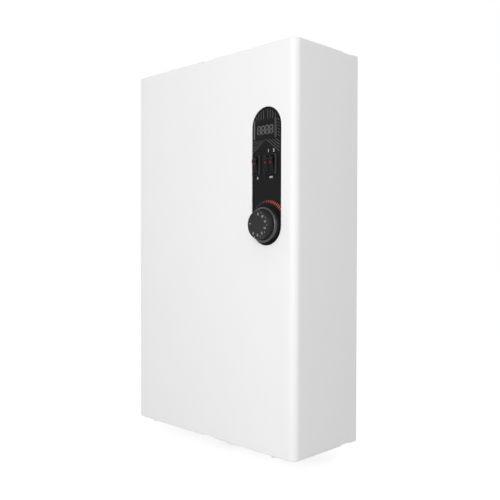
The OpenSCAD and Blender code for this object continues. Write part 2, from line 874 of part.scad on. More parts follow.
// Half section of the knob above its ribbed skirt
module knob_section() {
    r = knob_d / 2;
    rf = knob_face_d / 2;
    difference() {
        union() {
            translate([0, skirt_h - rim_t]) soft_right(0, r, 0, rim_t, skirt_round);
            polygon([[0, skirt_h - skirt_round], [rf + groove_w, skirt_h - skirt_round],
                [rf + groove_w, skirt_h + groove_w], [rf, knob_h - face_round],
                [rf - face_round, knob_h], [0, knob_h]]);
        }
        translate([rf - groove_w, skirt_h]) square([2 * groove_w, groove_w]);
    }
}

module thermostat_knob() {
    color("#26272a") on_knob(knob_y) difference() {
        union() {
            linear_extrude(skirt_h - rim_t / 2) {
                circle(knob_d / 2 - rib_r);
                for (i = [0 : rib_count - 1]) rotate(i * 360 / rib_count)
                    translate([knob_d / 2 - rib_r, 0]) circle(rib_r, $fn = 16);
            }
            rotate_extrude() knob_section();
        }
        difference() {
            rod_z(knob_face_d / 2 - knob_wall, -cut, knob_h - 2 * knob_wall);
            rod_z(hub_d / 2, -2 * cut, knob_h);
        }
        difference() {
            rod_z(spindle_d / 2 + fit, -cut, spindle_out + fit);
            block([-spindle_d, spindle_d / 2 - spindle_flat + fit, 0], [spindle_d, spindle_d, knob_h]);
        }
    }
}

module thermostat_spindle() {
    color("gold") on_knob(knob_y) difference() {
        rod_z(spindle_d / 2, knob_y - bracket_back - spindle_in, spindle_out);
        block([-spindle_d, spindle_d / 2 - spindle_flat, 0], [spindle_d, spindle_d, knob_h]);
    }
}

// Thermostat behind the bracket: base, metal cup, capillary gland and three tabs
module thermostat_body() {
    color("lightgray") translate([panel_x, 0, knob_z]) {
        difference() {
            union() {
                block([-thermostat_w / 2, bracket_back, -thermostat_h / 2],
                    [thermostat_w / 2, bracket_back + thermostat_t, thermostat_h / 2]);
                rod_y(cup_d / 2, bracket_back, bracket_back + thermostat_t + cup_t);
                rod_y(capillary_d, bracket_back, bracket_back + thermostat_t + cup_t + capillary_d);
            }
            rod_y(spindle_d / 2 + fit, bracket_back - cut, bracket_back + spindle_in + 2 * gap);
            for (x = [-thermostat_screw_x, thermostat_screw_x]) translate([x, 0, 0])
                rod_y(screw_d / 2 + fit, bracket_back - cut, bracket_back + thermostat_t / 2);
        }
        for (x = [-cup_d / 3, 0, cup_d / 3])
            block([x - tab_w, bracket_back + thermostat_t / 2, thermostat_h / 2 - fit],
                [x + tab_w, bracket_back + thermostat_t / 2 + tab_t, thermostat_h / 2 + tab_len]);
    }
}

// Short M4 screws: two hold the thermostat, one draws each tank clamp together
module m4_screws() {
    ear_y = axis_y - tank_r - clamp_t - clamp_ear / 2;
    grip = clamp_slit / 2 + 2 * clamp_t;
    color("silver") {
        for (x = [-thermostat_screw_x, thermostat_screw_x]) translate([panel_x + x, 0, knob_z]) {
            rod_y(screw_d / 2, fascia_y + fascia_t / 2, bracket_back + thermostat_t / 2 - fit);
        }
        for (z = CLAMP_Z) translate([tank_x, ear_y, z]) {
            rod_x(screw_d / 2, -grip - m4_h, grip);
            rod_x(screw_head_d / 2, grip, grip + screw_head_h);
            rotate([0, 90, 0]) hex_z(m4_af, -grip - m4_h, -grip);
        }
    }
}

POCKETS = [[tank_x, axis_y - pocket_r], [tank_x - pocket_r, axis_y]];
bulb_top = tank_top + pocket_up;

module sensor_bulbs() {
    color("peru") for (p = POCKETS) translate([p[0], p[1], 0])
        rod_z(bulb_d / 2, bulb_top - bulb_len, bulb_top);
}

// Sweeps

// Route with each inner corner rounded to a curve that starts r before it
function corner(a, b, c, r) =
    let (u = (a - b) / norm(a - b), v = (c - b) / norm(c - b), p = b + r * u, q = b + r * v)
    [for (i = [0 : bend_steps]) let (t = i / bend_steps)
        (1 - t) * (1 - t) * p + 2 * t * (1 - t) * b + t * t * q];
function rounded(route, r) = concat([route[0]],
    [for (i = [1 : len(route) - 2]) each corner(route[i - 1], route[i], route[i + 1], r)],
    [route[len(route) - 1]]);
function unit(v) = v / norm(v);
function tangent(path, i) = let (n = len(path) - 1)
    i == 0 ? unit(path[1] - path[0]) : i == n ? unit(path[n] - path[n - 1]) :
    unit(unit(path[i + 1] - path[i]) + unit(path[i] - path[i - 1]));
function side_start(t) = unit(cross(t, abs(t[2]) < 0.7 ? [0, 0, 1] : [0, 1, 0]));
function side_next(n, t) = unit(n - (n * t) * t);

// A round tube of radius tr along a route, one solid with flat ends
module sweep(route, tr, r) {
    path = rounded(route, r);
    count = len(path);
    sides = [for (i = 0, n = side_start(tangent(path, 0)); i < count;
        i = i + 1, n = i < count ? side_next(n, tangent(path, i)) : n) n];
    points = [for (i = [0 : count - 1]) let (t = tangent(path, i), u = sides[i], v = cross(t, u))
        for (k = [0 : tube_sides - 1]) let (a = 360 * k / tube_sides)
            path[i] + tr * (cos(a) * u + sin(a) * v)];
    walls = [for (i = [0 : count - 2], k = [0 : tube_sides - 1])
        let (a = i * tube_sides + k, b = i * tube_sides + (k + 1) % tube_sides)
            each [[a, a + tube_sides, b], [b, a + tube_sides, b + tube_sides]]];
    last = (count - 1) * tube_sides;
    caps = [for (k = [1 : tube_sides - 2]) each [[0, k, k + 1], [last, last + k + 1, last + k]]];
    polyhedron(points = points, faces = concat(walls, caps));
}

// Routes of the two capillaries: from the thermostat, and from the safety thermostat, to the pockets
capillary_gland_y = bracket_back + thermostat_t + cup_t + capillary_d;
limiter_top = floor_z + limiter_h;
CAPILLARIES = [
    [[panel_x, capillary_gland_y, knob_z], [panel_x, -75, knob_z], [118, -70, -196], [112, -40, -120],
        [108, -34, 16], [60, -18, 24], [-60, -24, 24], [-100, -90, 0], [tank_x, axis_y - pocket_r, -30],
        [tank_x, axis_y - pocket_r, bulb_top]],
    [[limiter_x, limiter_y, limiter_top], [limiter_x, limiter_y, limiter_top + limiter_h], [-170, -84, -490],
        [-171, -66, -460], [-171, -60, -120], [-168, -54, -62], [tank_x - pocket_r, axis_y, -60],
        [tank_x - pocket_r, axis_y, bulb_top]]];

module capillary_tubes() {
    color("peru") for (route = CAPILLARIES) sweep(route, capillary_d / 2, 3 * capillary_d);
}

// Heating tank

module heating_tank() {
    color("lightsteelblue") translate([tank_x, axis_y, 0]) difference() {
        union() {
            rotate_extrude() soft_right(0, tank_r, tank_bottom, tank_top, knuckle_r);
            rod_z(collar_d / 2, tank_top - tank_wall, collar_top);
            rod_z(port_d / 2, return_port_z, tank_bottom + tank_wall);
            translate([0, 0, supply_z]) rod_x(port_d / 2, 0, tank_r + port_len);
            for (p = POCKETS) translate([p[0] - tank_x, p[1] - axis_y, 0])
                rod_z(pocket_tube_d / 2, tank_top - tank_wall, bulb_top - fit);
        }
        rotate_extrude() soft_right(0, tank_r - tank_wall, tank_bottom + tank_wall,
            tank_top - tank_wall, knuckle_r - tank_wall);
        rod_z(flange_thread_d / 2 + fit, tank_top - 2 * tank_wall, collar_top + cut);
        rod_z(port_bore / 2, return_port_z - cut, tank_bottom + 2 * tank_wall);
        translate([0, 0, supply_z]) rod_x(port_bore / 2, tank_r - 2 * tank_wall, tank_r + port_len + cut);
        for (p = POCKETS) translate([p[0] - tank_x, p[1] - axis_y, 0])
            rod_z(pocket_bore_d / 2, tank_top - 2 * tank_wall, bulb_top + cut);
    }
    color("lightsteelblue") for (p = POCKETS) translate([p[0], p[1], 0]) difference() {
        rod_z(pocket_tube_d / 2, bulb_top - pocket_len, tank_top - tank_wall + fit);
        rod_z(pocket_bore_d / 2, bulb_top - pocket_len + tank_wall, tank_top + cut);
    }
}

module tank_clamps() {
    ro = tank_r + fit + clamp_t;
    color("gainsboro") for (z = CLAMP_Z) translate([tank_x, axis_y, z - clamp_h / 2]) difference() {
        union() {
            rod_z(ro, 0, clamp_h);
            block([-clamp_foot_w / 2, pipe_y - chassis_sheet - clamp_t, 0],
                [clamp_foot_w / 2, pipe_y - chassis_sheet, clamp_h]);
            block([-clamp_t, tank_r * 0.7, 0], [clamp_t, pipe_y - chassis_sheet, clamp_h]);
            block([-clamp_slit / 2 - clamp_t, -ro - clamp_ear, 0],
                [clamp_slit / 2 + clamp_t, -tank_r, clamp_h]);
        }
        rod_z(tank_r + fit, -cut, clamp_h + cut);
        block([-clamp_slit / 2, -ro - clamp_ear - cut, -cut], [clamp_slit / 2, -tank_r / 2, clamp_h + cut]);
        translate([0, -tank_r - clamp_t - clamp_ear / 2, clamp_h / 2])
            rod_x(screw_d / 2 + fit, -tank_r / 2, tank_r / 2);
    }
}

// Legs of the three elements, two to each, round the flange
LEG_ANGLES = [for (i = [0 : 2]) each [120 * i - 30 + 60, 120 * i - 30 + 120]];
module at_legs() { for (a = LEG_ANGLES) rotate(a) translate([leg_r, 0, 0]) children(); }

module element_flange() {
    seat = collar_top + gasket_t;
    color("goldenrod") translate([tank_x, axis_y, 0]) difference() {
        union() {
            rod_z(flange_thread_d / 2, seat - gasket_t - flange_skirt_h, seat + fit);
            hex_z(flange_hex, seat, flange_top);
        }
        at_legs() rod_z(element_d / 2 + fit, seat - flange_skirt_h - 2 * gasket_t, flange_top + cut);
    }
}

// Three U tubes, each with two cold pins above the flange
module heating_elements() {
    bend = leg_r * sin(30);
    foot = flange_top - element_len;
    color("dimgray") translate([tank_x, axis_y, 0]) for (i = [0 : 2]) rotate(120 * i + 60) {
        for (a = [-30, 30]) rotate(a) translate([leg_r, 0, 0]) {
            rod_z(element_d / 2, foot, flange_top + tab_t);
            rod_z(stud_m4 / 2, flange_top, flange_top + stud_up);
        }
        translate([leg_r * cos(30), 0, foot]) rotate([90, 0, 90]) rotate([0, 0, 180 - bend_lap])
            rotate_extrude(angle = 180 + 2 * bend_lap) translate([bend, 0]) circle(element_d / 2 - fit);
    }
}

module element_insulators() {
    color("ivory") translate([tank_x, axis_y, 0]) at_legs() difference() {
        rod_z(insulator_d / 2, flange_top + tab_t, flange_top + tab_t + insulator_h);
        rod_z(stud_m4 / 2 + fit, flange_top, flange_top + 2 * insulator_h);
    }
}

bridge_z = flange_top + tab_t + insulator_h;

// Links the inner legs' studs into the star point
module star_bridge() {
    color("orange") translate([tank_x, axis_y, bridge_z]) difference() {
        union() for (i = [0 : 2]) rotate(120 * i + 30) {
            rod_at = [leg_r, 0, 0];
            translate(rod_at) rod_z(m4_af / 2, 0, bridge_t);
            block([0, -m4_af / 4, 0], [leg_r, m4_af / 4, bridge_t]);
        }
        for (i = [0 : 2]) rotate(120 * i + 30) translate([leg_r, 0, 0])
            rod_z(stud_m4 / 2 + fit, -cut, bridge_t + cut);
    }
}

module element_nuts() {
    color("silver") translate([tank_x, axis_y, 0]) for (i = [0 : 5]) rotate(LEG_ANGLES[i])
        translate([leg_r, 0, bridge_z + (i % 2 == 0 ? bridge_t : 0)]) difference() {
            hex_z(m4_af, 0, m4_h);
            rod_z(stud_m4 / 2 + fit, -cut, m4_h + cut);
        }
}

// Piping

// The end face of the tank's upper port, z pointing out of it
module at_supply_port() { translate([supply_port_x, axis_y, supply_z]) rotate([0, 90, 0]) children(); }

// The end faces of the three upright ports, z pointing out of each
module at_upright_ports() {
    translate([tank_x, axis_y, return_port_z]) rotate([180, 0, 0]) children();
    translate([pump_x, axis_y, pump_top]) children();
    translate([pump_x, axis_y, pump_foot]) rotate([180, 0, 0]) children();
}

module union_nut() {
    end = union_seat + union_lip;
    color("goldenrod") difference() {
        hex_z(union_af, -union_grip, end);
        rod_z(port_d / 2 + fit, -union_grip - cut, union_seat + fit);
        rod_z(pipe_d / 2 + gap, 0, end + cut);
    }
}

module union_nuts() { at_upright_ports() union_nut(); }

module supply_nut() { at_supply_port() union_nut(); }

module port_gasket() { tube_z(pipe_collar_d / 2, port_bore / 2, 0, gasket_t); }

module gaskets() {
    color("darkgreen") {
        at_upright_ports() port_gasket();
        at_supply_port() port_gasket();
        translate([tank_x, axis_y, 0])
            tube_z(collar_d / 2, flange_thread_d / 2 + fit, collar_top, collar_top + gasket_t);
    }
}

// Threaded end below the bottom plate, with its collar above the plate
module stub_body(x) {
    translate([x, axis_y, 0]) {
        rod_z(stub_d / 2, stub_end, shank_z - relief_w);
        rod_z(stub_d / 2 - relief_w, stub_end, floor_z);
        rod_z(shank_d / 2, shank_z, floor_z + fit);
        rod_z(stub_collar_d / 2, floor_z, floor_z + stub_collar_h);
    }
}

// A straight pipe from a union down to its stub
module straight_pipe(x, port_z, branch) {
    top = port_z - gasket_t;
    difference() {
        union() {
            stub_body(x);
            translate([x, axis_y, 0]) {
                rod_z(pipe_d / 2, floor_z, top);
                rod_z(pipe_collar_d / 2, top - collar_t, top);
                if (branch) translate([0, 0, branch_z]) rod_x(branch_d / 2, 0, branch_out);
            }
        }
        translate([x, axis_y, 0]) {
            rod_z(pipe_d / 2 - pipe_wall, floor_z + stub_collar_h, top + cut);
            rod_z(stub_bore / 2, stub_end - cut, top);
            if (branch) translate([0, 0, branch_z]) rod_x(spigot_bore / 2, 0, branch_out + cut);
        }
    }
}

module return_pipe() { color("peru") straight_pipe(tank_x, return_port_z, true); }
module flow_pipe() { color("peru") straight_pipe(pump_x, pump_foot, false); }

// The supply pipe's bent run, r thick
module supply_run(r) {
    bend_x = pump_x - pipe_bend_r;
    x0 = supply_port_x + gasket_t;
    z1 = pump_top + gasket_t;
    translate([0, axis_y, supply_z]) rod_x(r, x0, bend_x);
    translate([bend_x, axis_y, supply_z - pipe_bend_r]) rotate([90, 0, 0])
        rotate_extrude(angle = 90) translate([pipe_bend_r, 0]) circle(r);
    translate([pump_x, axis_y, 0]) rod_z(r, z1, supply_z - pipe_bend_r);
}

module supply_pipe() {
    x0 = supply_port_x + gasket_t;
    z1 = pump_top + gasket_t;
    inner = pipe_d / 2 - pipe_wall;
    color("peru") difference() {
        union() {
            supply_run(pipe_d / 2);
            translate([0, axis_y, supply_z]) rod_x(pipe_collar_d / 2, x0, x0 + collar_t);
            translate([pump_x, axis_y, 0]) rod_z(pipe_collar_d / 2, z1, z1 + collar_t);
            translate([vent_x, axis_y, 0]) rod_z(vent_boss_d / 2, supply_z, supply_z + vent_boss_up);
        }
        supply_run(inner);
        translate([0, axis_y, supply_z]) rod_x(inner, x0 - cut, x0 + cut);
        translate([pump_x, axis_y, 0]) rod_z(inner, z1 - cut, z1 + cut);
        translate([vent_x, axis_y, 0]) rod_z(vent_boss_d / 4, supply_z, supply_z + vent_boss_up + cut);
    }
}

module locknuts() {
    color("goldenrod") {
        for (x = [tank_x, pump_x]) translate([x, axis_y, 0]) difference() {
            hex_z(locknut_af, chassis_bottom - locknut_h, chassis_bottom);
            rod_z(shank_d / 2 + fit, chassis_bottom - locknut_h - cut, chassis_bottom + cut);
        }
        translate([gland_x, gland_y, 0]) difference() {
            hex_z(gland_af, floor_z, floor_z + gland_nut_h);
            rod_z(gland_d / 2 + fit, floor_z - cut, floor_z + gland_nut_h + cut);
        }
        translate([limiter_x, limiter_y, 0]) difference() {
            hex_z(limiter_nut_af, chassis_bottom - m4_h, chassis_bottom);
            rod_z(limiter_neck_d / 2 + fit, chassis_bottom - m4_h - cut, chassis_bottom + cut);
        }
    }
}

// Circulation pump, its shaft along y

module bolt_ring(count, r) { for (i = [0 : count - 1]) rotate([0, 45 + i * 360 / count, 0])
    translate([r, 0, 0]) children(); }

module pump_volute() {
    back = axis_y + volute_back;
    color("slategray") difference() {
        union() {
            translate([pump_x, 0, pump_z]) {
                rod_y(volute_d / 2, motor_flange_y, back);
                rod_y(pump_flange_d / 2, motor_flange_y, motor_flange_y + flange_t);
            }
            translate([pump_x, axis_y, 0]) {
                rod_z(pipe_d / 2 + 2 * pipe_wall, pump_foot, pump_top);
                for (z = [pump_foot, pump_top - union_grip - 2 * collar_t])
                    rod_z(port_d / 2, z, z + union_grip + 2 * collar_t);
            }
        }
        translate([pump_x, 0, pump_z]) {
            rod_y(chamber_d / 2, motor_flange_y - cut, back - flange_t);
            bolt_ring(4, bolt_ring_r) rod_y(bolt_d / 2 + fit, motor_flange_y - cut, back + cut);
        }
        translate([pump_x, axis_y, 0]) rod_z(port_bore / 2, pump_foot - cut, pump_top + cut);
    }
}

module pump_motor() {
    flange_front = motor_flange_y - flange_t;
    can_front = motor_front + plug_h;
    color("darkred") translate([pump_x, 0, pump_z]) difference() {
        union() {
            rod_y(pump_flange_d / 2, flange_front, motor_flange_y);
            rod_y(motor_d / 2 - fin_out, can_front, flange_front + fit);
            for (i = [0 : fin_count - 1]) rotate([0, (i + 0.5) * 360 / fin_count, 0])
                block([0, can_front + motor_wall, -fin_w / 2], [motor_d / 2, flange_front, fin_w / 2]);
            rod_y(plug_d / 2, motor_front, can_front + fit);
        }
        rod_y(can_bore / 2, can_front + motor_wall, flange_front);
        rod_y(shaft_d / 2 + fit, can_front + motor_wall / 2, motor_flange_y + cut);
        bolt_ring(4, bolt_ring_r) rod_y(bolt_d / 2 + fit, flange_front - cut, motor_flange_y + cut);
        block([-plug_d / 2 - cut, motor_front - cut, -tab_t], [plug_d / 2 + cut, motor_front + tab_t, tab_t]);
    }
}

module pump_bolts() {
    flange_front = motor_flange_y - flange_t;
    color("silver") translate([pump_x, 0, pump_z]) bolt_ring(4, bolt_ring_r) difference() {
        union() {
            rod_y(bolt_d / 2, flange_front - fit, motor_flange_y + flange_t);
            rod_y(bolt_head_d / 2, flange_front - bolt_head_h, flange_front);
        }
        translate([0, flange_front - bolt_head_h / 2, 0]) rotate([90, 0, 0])
            hex_z(bolt_d * 0.8, 0, bolt_head_h);
    }
}

// Shaft, rotor and impeller in one
module pump_rotor() {
    shaft_front = motor_front + plug_h + motor_wall / 2 + gap;
    can_front = motor_front + plug_h + motor_wall;
    flange_front = motor_flange_y - flange_t;
    eye_y = axis_y + volute_back - flange_t - 2 * gap;
    hub_y = motor_flange_y + 2 * gap;
    color("silver") translate([pump_x, 0, pump_z]) {
        rod_y(shaft_d / 2, shaft_front, eye_y);
        rod_y(rotor_d / 2, can_front + 4 * gap, flange_front - 4 * gap);
        rod_y(impeller_d / 2, hub_y, hub_y + tab_w);
        for (i = [0 : vane_count - 1]) rotate([0, i * 360 / vane_count, 0])
            translate([shaft_d / 3, 0, 0]) rotate([0, 28, 0])
                block([0, hub_y + tab_w - fit, -tab_t], [impeller_d * 0.42, axis_y + volute_back / 3, tab_t]);
    }
}

box_x1 = pump_x - motor_d / 2 + fin_out;
box_x0 = box_x1 - box_w;
speed_x = box_x0 + box_w * 0.42;

// Terminal box on the motor's left, hollow, its saddle fitted to the can
module pump_box() {
    z0 = pump_z - box_h / 2;
    z1 = pump_z + box_h / 2;
    can_r = motor_d / 2 + fit;
    color("#2a2b2e") difference() {
        block([box_x0, box_front, z0], [pump_x - motor_d / 4, box_back, z1]);
        translate([pump_x, 0, pump_z]) rod_y(can_r, box_front - cut, box_back + cut);
        block([box_x0 + box_wall, box_front + box_wall, z0 + box_wall],
            [box_x1 - 2 * fin_out - box_wall, box_back - box_wall, z1 - box_wall]);
        translate([speed_x, 0, pump_z])
            rod_y(speed_stem_d / 2 + fit, box_front - cut, box_front + box_wall + cut);
    }
}

module pump_speed_knob() {
    face = box_front - gap - speed_t;
    color("#e08020") translate([speed_x, 0, pump_z]) {
        rod_y(speed_stem_d / 2, box_front - gap - fit, box_front + 2 * box_wall);
        difference() {
            rod_y(speed_d / 2, face, box_front - gap);
            for (s = [-1, 1]) translate([s * speed_d * 0.46, 0, 0])
                block([-speed_d * 0.3, face - cut, -speed_d], [speed_d * 0.3, face + speed_t / 2, speed_d]);
        }
    }
}

// Relief valve on the return pipe's branch and air vent on the supply pipe

valve_mid_x = valve_x + valve_len / 2;

module relief_valve_body() {
    color("goldenrod") translate([0, axis_y, branch_z]) difference() {
        union() {
            rod_x(valve_d / 2, valve_x, valve_x + valve_len);
            rotate([0, 90, 0]) hex_z(valve_d, valve_x, valve_x + valve_len / 4);
            translate([valve_mid_x, 0, 0]) rod_z(spigot_d / 2, chassis_bottom - spigot_down - branch_z, 0);
        }
        rod_x(spigot_bore / 2, valve_x - cut, valve_mid_x);
        translate([valve_mid_x, 0, 0])
            rod_z(spigot_bore / 2, chassis_bottom - spigot_down - branch_z - cut, 0);
    }
}

module relief_valve_cap() {
    x0 = valve_x + valve_len + gap;
    color("firebrick") translate([0, axis_y, branch_z]) difference() {
        rod_x(valve_cap_d / 2, x0, x0 + valve_cap_len);
        for (i = [0 : 7]) rotate([i * 45, 0, 0]) translate([0, 0, valve_cap_d / 2 + 2 * tab_t])
            rod_x(valve_cap_d / 9, x0 + valve_cap_len / 4, x0 + valve_cap_len + cut);
        rod_x(valve_d / 3, x0 + valve_cap_len - tab_t, x0 + valve_cap_len + cut);
    }
}

module air_vent() {
    z0 = supply_z + vent_boss_up;
    color("goldenrod") translate([vent_x, axis_y, 0]) {
        hex_z(vent_hex, z0, z0 + vent_hex_h);
        rotate_extrude() translate([0, z0 + vent_hex_h - fit])
            soft_right(0, vent_d / 2, 0, vent_h, knuckle_r / 2);
        rod_z(vent_d / 5, z0 + vent_hex_h + vent_h - cut, z0 + vent_hex_h + vent_h + vent_hex_h);
        rod_z(vent_d / 4, z0 + vent_hex_h + vent_h + vent_hex_h / 2, z0 + vent_hex_h + vent_h + 2 * vent_hex_h);
    }
}

// Safety thermostat standing in the bottom plate, its reset button below

module safety_thermostat() {
    color("gainsboro") translate([limiter_x, limiter_y, 0]) difference() {
        union() {
            block([-limiter_w / 2, -limiter_w / 2, floor_z],
                [limiter_w / 2, limiter_w / 2, floor_z + limiter_h / 2]);
            rod_z(limiter_w / 2.6, floor_z, limiter_top);
            rod_z(limiter_neck_d / 2, chassis_bottom - limiter_neck, floor_z + fit);
        }
        rod_z(reset_d / 2 + fit, chassis_bottom - limiter_neck - cut, floor_z + fit);
        rod_z(reset_flange_d / 2 + gap, floor_z, floor_z + limiter_h / 3);
    }
}

module reset_button() {
    color("#c22f2f") translate([limiter_x, limiter_y, 0]) {
        rod_z(reset_d / 2, chassis_bottom - limiter_neck - reset_proud, floor_z + gap);
        rod_z(reset_flange_d / 2, floor_z + gap - fit, floor_z + limiter_h / 3 - reset_travel - gap);
    }
}

// Switchgear

RAIL_SCREW_X = [rail_x0 + rail_rivet_in, rail_x1 - rail_far_end / 2];

module din_rail() {
    color("silver") translate([rail_x0, wall_y, rail_z]) difference() {
        rotate([90, 0, 90]) linear_extrude(rail_x1 - rail_x0) {
            translate([-rail_t, -rail_foot / 2]) square([rail_t, rail_foot]);
            for (s = [0, 1]) mirror([0, s]) {
                translate([-rail_d, rail_foot / 2 - rail_t]) square([rail_d, rail_t]);
                translate([-rail_d, rail_foot / 2 - rail_t])
                    square([rail_t, (rail_w - rail_foot) / 2 + rail_t]);
            }
        }
        for (x = RAIL_SCREW_X) translate([x - rail_x0, 0, 0]) rod_y(rivet_d / 2 + fit, -rail_t - cut, cut);
    }
}

contactor_back = wall_y - rail_d;
function contactor_x(i) = contactor_x0 + contactor_step * i;
CELLS = [for (i = [0 : cell_count - 1]) (i + 0.5 - cell_count / 2) * screw_cell];

// Two modular contactors clipped on the rail
module contactors() {
    nose = contactor_back - contactor_nose_d;
    step = contactor_back - contactor_step_d;
    h = contactor_h / 2;
    n = contactor_nose_h / 2;
    clip = rail_t + 2 * fit;
    color("gainsboro") for (i = [0, 1]) translate([contactor_x(i), 0, rail_z]) difference() {
        rotate([90, 0, 90]) linear_extrude(contactor_w) polygon([[contactor_back, -h], [step, -h],
            [step, -n], [nose, -n], [nose, n], [step, n], [step, h], [contactor_back, h],
            [contactor_back, rail_w / 2 + fit], [contactor_back - clip, rail_w / 2 + fit],
            [contactor_back - clip, -rail_w / 2 - fit], [contactor_back, -rail_w / 2 - fit]]);
        translate([contactor_w / 2, 0, 0]) {
            block([-indicator_w / 2 - gap, nose - cut, -indicator_h / 2 - gap],
                [indicator_w / 2 + gap, nose + indicator_d + armature_travel, indicator_h / 2 + gap]);
            for (c = CELLS, s = [-1, 1]) translate([c, 0, s * (h + n) / 2])
                rod_y(terminal_screw_d / 2 + fit, step - cut, step + 2 * terminal_screw_h);
            for (c = CELLS, s = [-1, 1])
                block([c - screw_cell / 3, (step + contactor_back) / 2, s * h - terminal_screw_d],
                    [c + screw_cell / 3, (step + contactor_back + screw_cell) / 2,
                        s * h + terminal_screw_d]);
        }
    }
}

// The indicator on the moving armature, which draws in as the coil pulls
module armature(i) {
    nose = contactor_back - contactor_nose_d;
    color("royalblue") translate([contactor_x(i) + contactor_w / 2, 0, rail_z])
        block([-indicator_w / 2, nose - indicator_proud, -indicator_h / 2],
            [indicator_w / 2, nose + indicator_d - gap, indicator_h / 2]);
}
module armature_1() { armature(0); }
module armature_2() { armature(1); }

// Five-pole terminal block on the back plate
module terminal_block() {
    color("ivory") translate([block_x0, 0, block_z]) difference() {
        rotate([90, 0, 90]) linear_extrude(block_poles * block_pitch) polygon([
            [wall_y, 0], [wall_y - block_step_d, 0], [wall_y - block_step_d, block_h / 4],
            [wall_y - block_d, block_h / 4], [wall_y - block_d, block_h * 3 / 4],
            [wall_y - block_step_d, block_h * 3 / 4], [wall_y - block_step_d, block_h], [wall_y, block_h]]);
        for (i = [0 : block_poles - 1]) translate([(i + 0.5) * block_pitch, 0, 0]) {
            translate([0, 0, block_h / 2])
                rod_y(terminal_screw_d / 2 + fit, wall_y - block_d - cut,
                    wall_y - block_d + 2 * terminal_screw_h);
            translate([0, wall_y - block_step_d / 2, 0]) rod_z(terminal_screw_d / 2, -cut, block_h + cut);
        }
    }
}

module slotted_screw(y) {
    difference() {
        rod_y(terminal_screw_d / 2, y, y + terminal_screw_h);
        block([-terminal_screw_d, y - cut, -tab_t / 2], [terminal_screw_d, y + tab_t, tab_t / 2]);
    }
}

module terminal_screws() {
    step = contactor_back - contactor_step_d;
    s_z = (contactor_h + contactor_nose_h) / 4;
    color("silver") {
        for (i = [0, 1], c = CELLS, s = [-1, 1])
            translate([contactor_x(i) + contactor_w / 2 + c, 0, rail_z + s * s_z])
                slotted_screw(step + terminal_screw_h);
        for (i = [0 : block_poles - 1])
            translate([block_x0 + (i + 0.5) * block_pitch, 0, block_z + block_h / 2])
                slotted_screw(wall_y - block_d + terminal_screw_h);
    }
}

module earth_stud() {
    color("goldenrod") translate([earth_x, 0, earth_z]) {
        rod_y(earth_d / 2, wall_y - earth_len, wall_y);
        rod_y(washer_d / 2, wall_y - washer_t, wall_y);
        rotate([90, 0, 0]) hex_z(2 * nut_af - cut, washer_t - wall_y, washer_t - wall_y + 2 * nut_h);
    }
}

module cable_gland() {
    dome_top = chassis_bottom - gland_hex_h;
    color("dimgray") translate([gland_x, gland_y, 0]) difference() {
        union() {
            rod_z(gland_d / 2, chassis_bottom - fit, floor_z + gland_in);
            hex_z(gland_af, dome_top, chassis_bottom);
            rotate_extrude() translate([0, dome_top]) mirror([0, 1])
                soft_right(0, gland_dome_d / 2, -fit, gland_dome_h, knuckle_r / 2);
        }
        rod_z(gland_bore / 2, dome_top - gland_dome_h - cut, floor_z + gland_in + cut);
    }
}

// Internal wiring: each row is the tube's radius, its bend and its route
lug_in = 2;
plug_in = 1;
terminal_y = wall_y - block_step_d / 2;
cell_y = (contactor_back - contactor_step_d + contactor_back) / 2 + screw_cell / 4;
WIRES = [
    for (i = [0 : 2]) [1.6, 9, [[block_x0 + (i + 0.5) * block_pitch, terminal_y, block_z + block_h - lug_in],
        [block_x0 + (i + 0.5) * block_pitch, terminal_y, -380], [-22 + 6 * i, -14, -340],
        [-22 + 6 * i, -14, -196], [contactor_x(0) + contactor_w / 2 + CELLS[i], cell_y, -150],
        [contactor_x(0) + contactor_w / 2 + CELLS[i], cell_y,
            rail_z - contactor_h / 2 + terminal_screw_d]]],
    for (i = [0, 1]) [1.6, 6, [[contactor_x(i) + contactor_w / 2 + CELLS[0], cell_y,
            rail_z + contactor_h / 2 - terminal_screw_d],
        [contactor_x(i) + contactor_w / 2 + CELLS[0], cell_y, -4 + 10 * i],
        [-84 - 6 * i, -40 - 8 * i, -4 + 8 * i],
        [tank_x + leg_r * cos(LEG_ANGLES[4 * i + 1]), axis_y + leg_r * sin(LEG_ANGLES[4 * i + 1]), -20],
        [tank_x + leg_r * cos(LEG_ANGLES[4 * i + 1]), axis_y + leg_r * sin(LEG_ANGLES[4 * i + 1]),
            flange_top + stud_up]]],
    for (i = [0, 1]) [1.2, 6, [[contactor_x(i) + contactor_w / 2 + CELLS[3], cell_y,
            rail_z + contactor_h / 2 - terminal_screw_d],
        [contactor_x(i) + contactor_w / 2 + CELLS[3], cell_y, 0], [92, -14, 4 + 4 * i], [126 + 4 * i, -30, 4],
        [double_x + (i - 0.5) * key_pitch, -100, -112], [double_x + (i - 0.5) * key_pitch, -118, switch_z],
        [double_x + (i - 0.5) * key_pitch, fascia_back + switch_d + tab_len - plug_in, switch_z]]],
    [1.2, 6, [[single_x, fascia_back + switch_d + tab_len - plug_in, switch_z], [single_x, -104, switch_z],
        [98, -84, -160], [94, -24, -230], [94, -24, -330], [30, -24, -350], [20, -88, -350],
        [20, -88, pump_z + box_h / 2]]]];

module wiring() {
    color("royalblue") for (w = WIRES) sweep(w[2], w[0], w[1]);
}

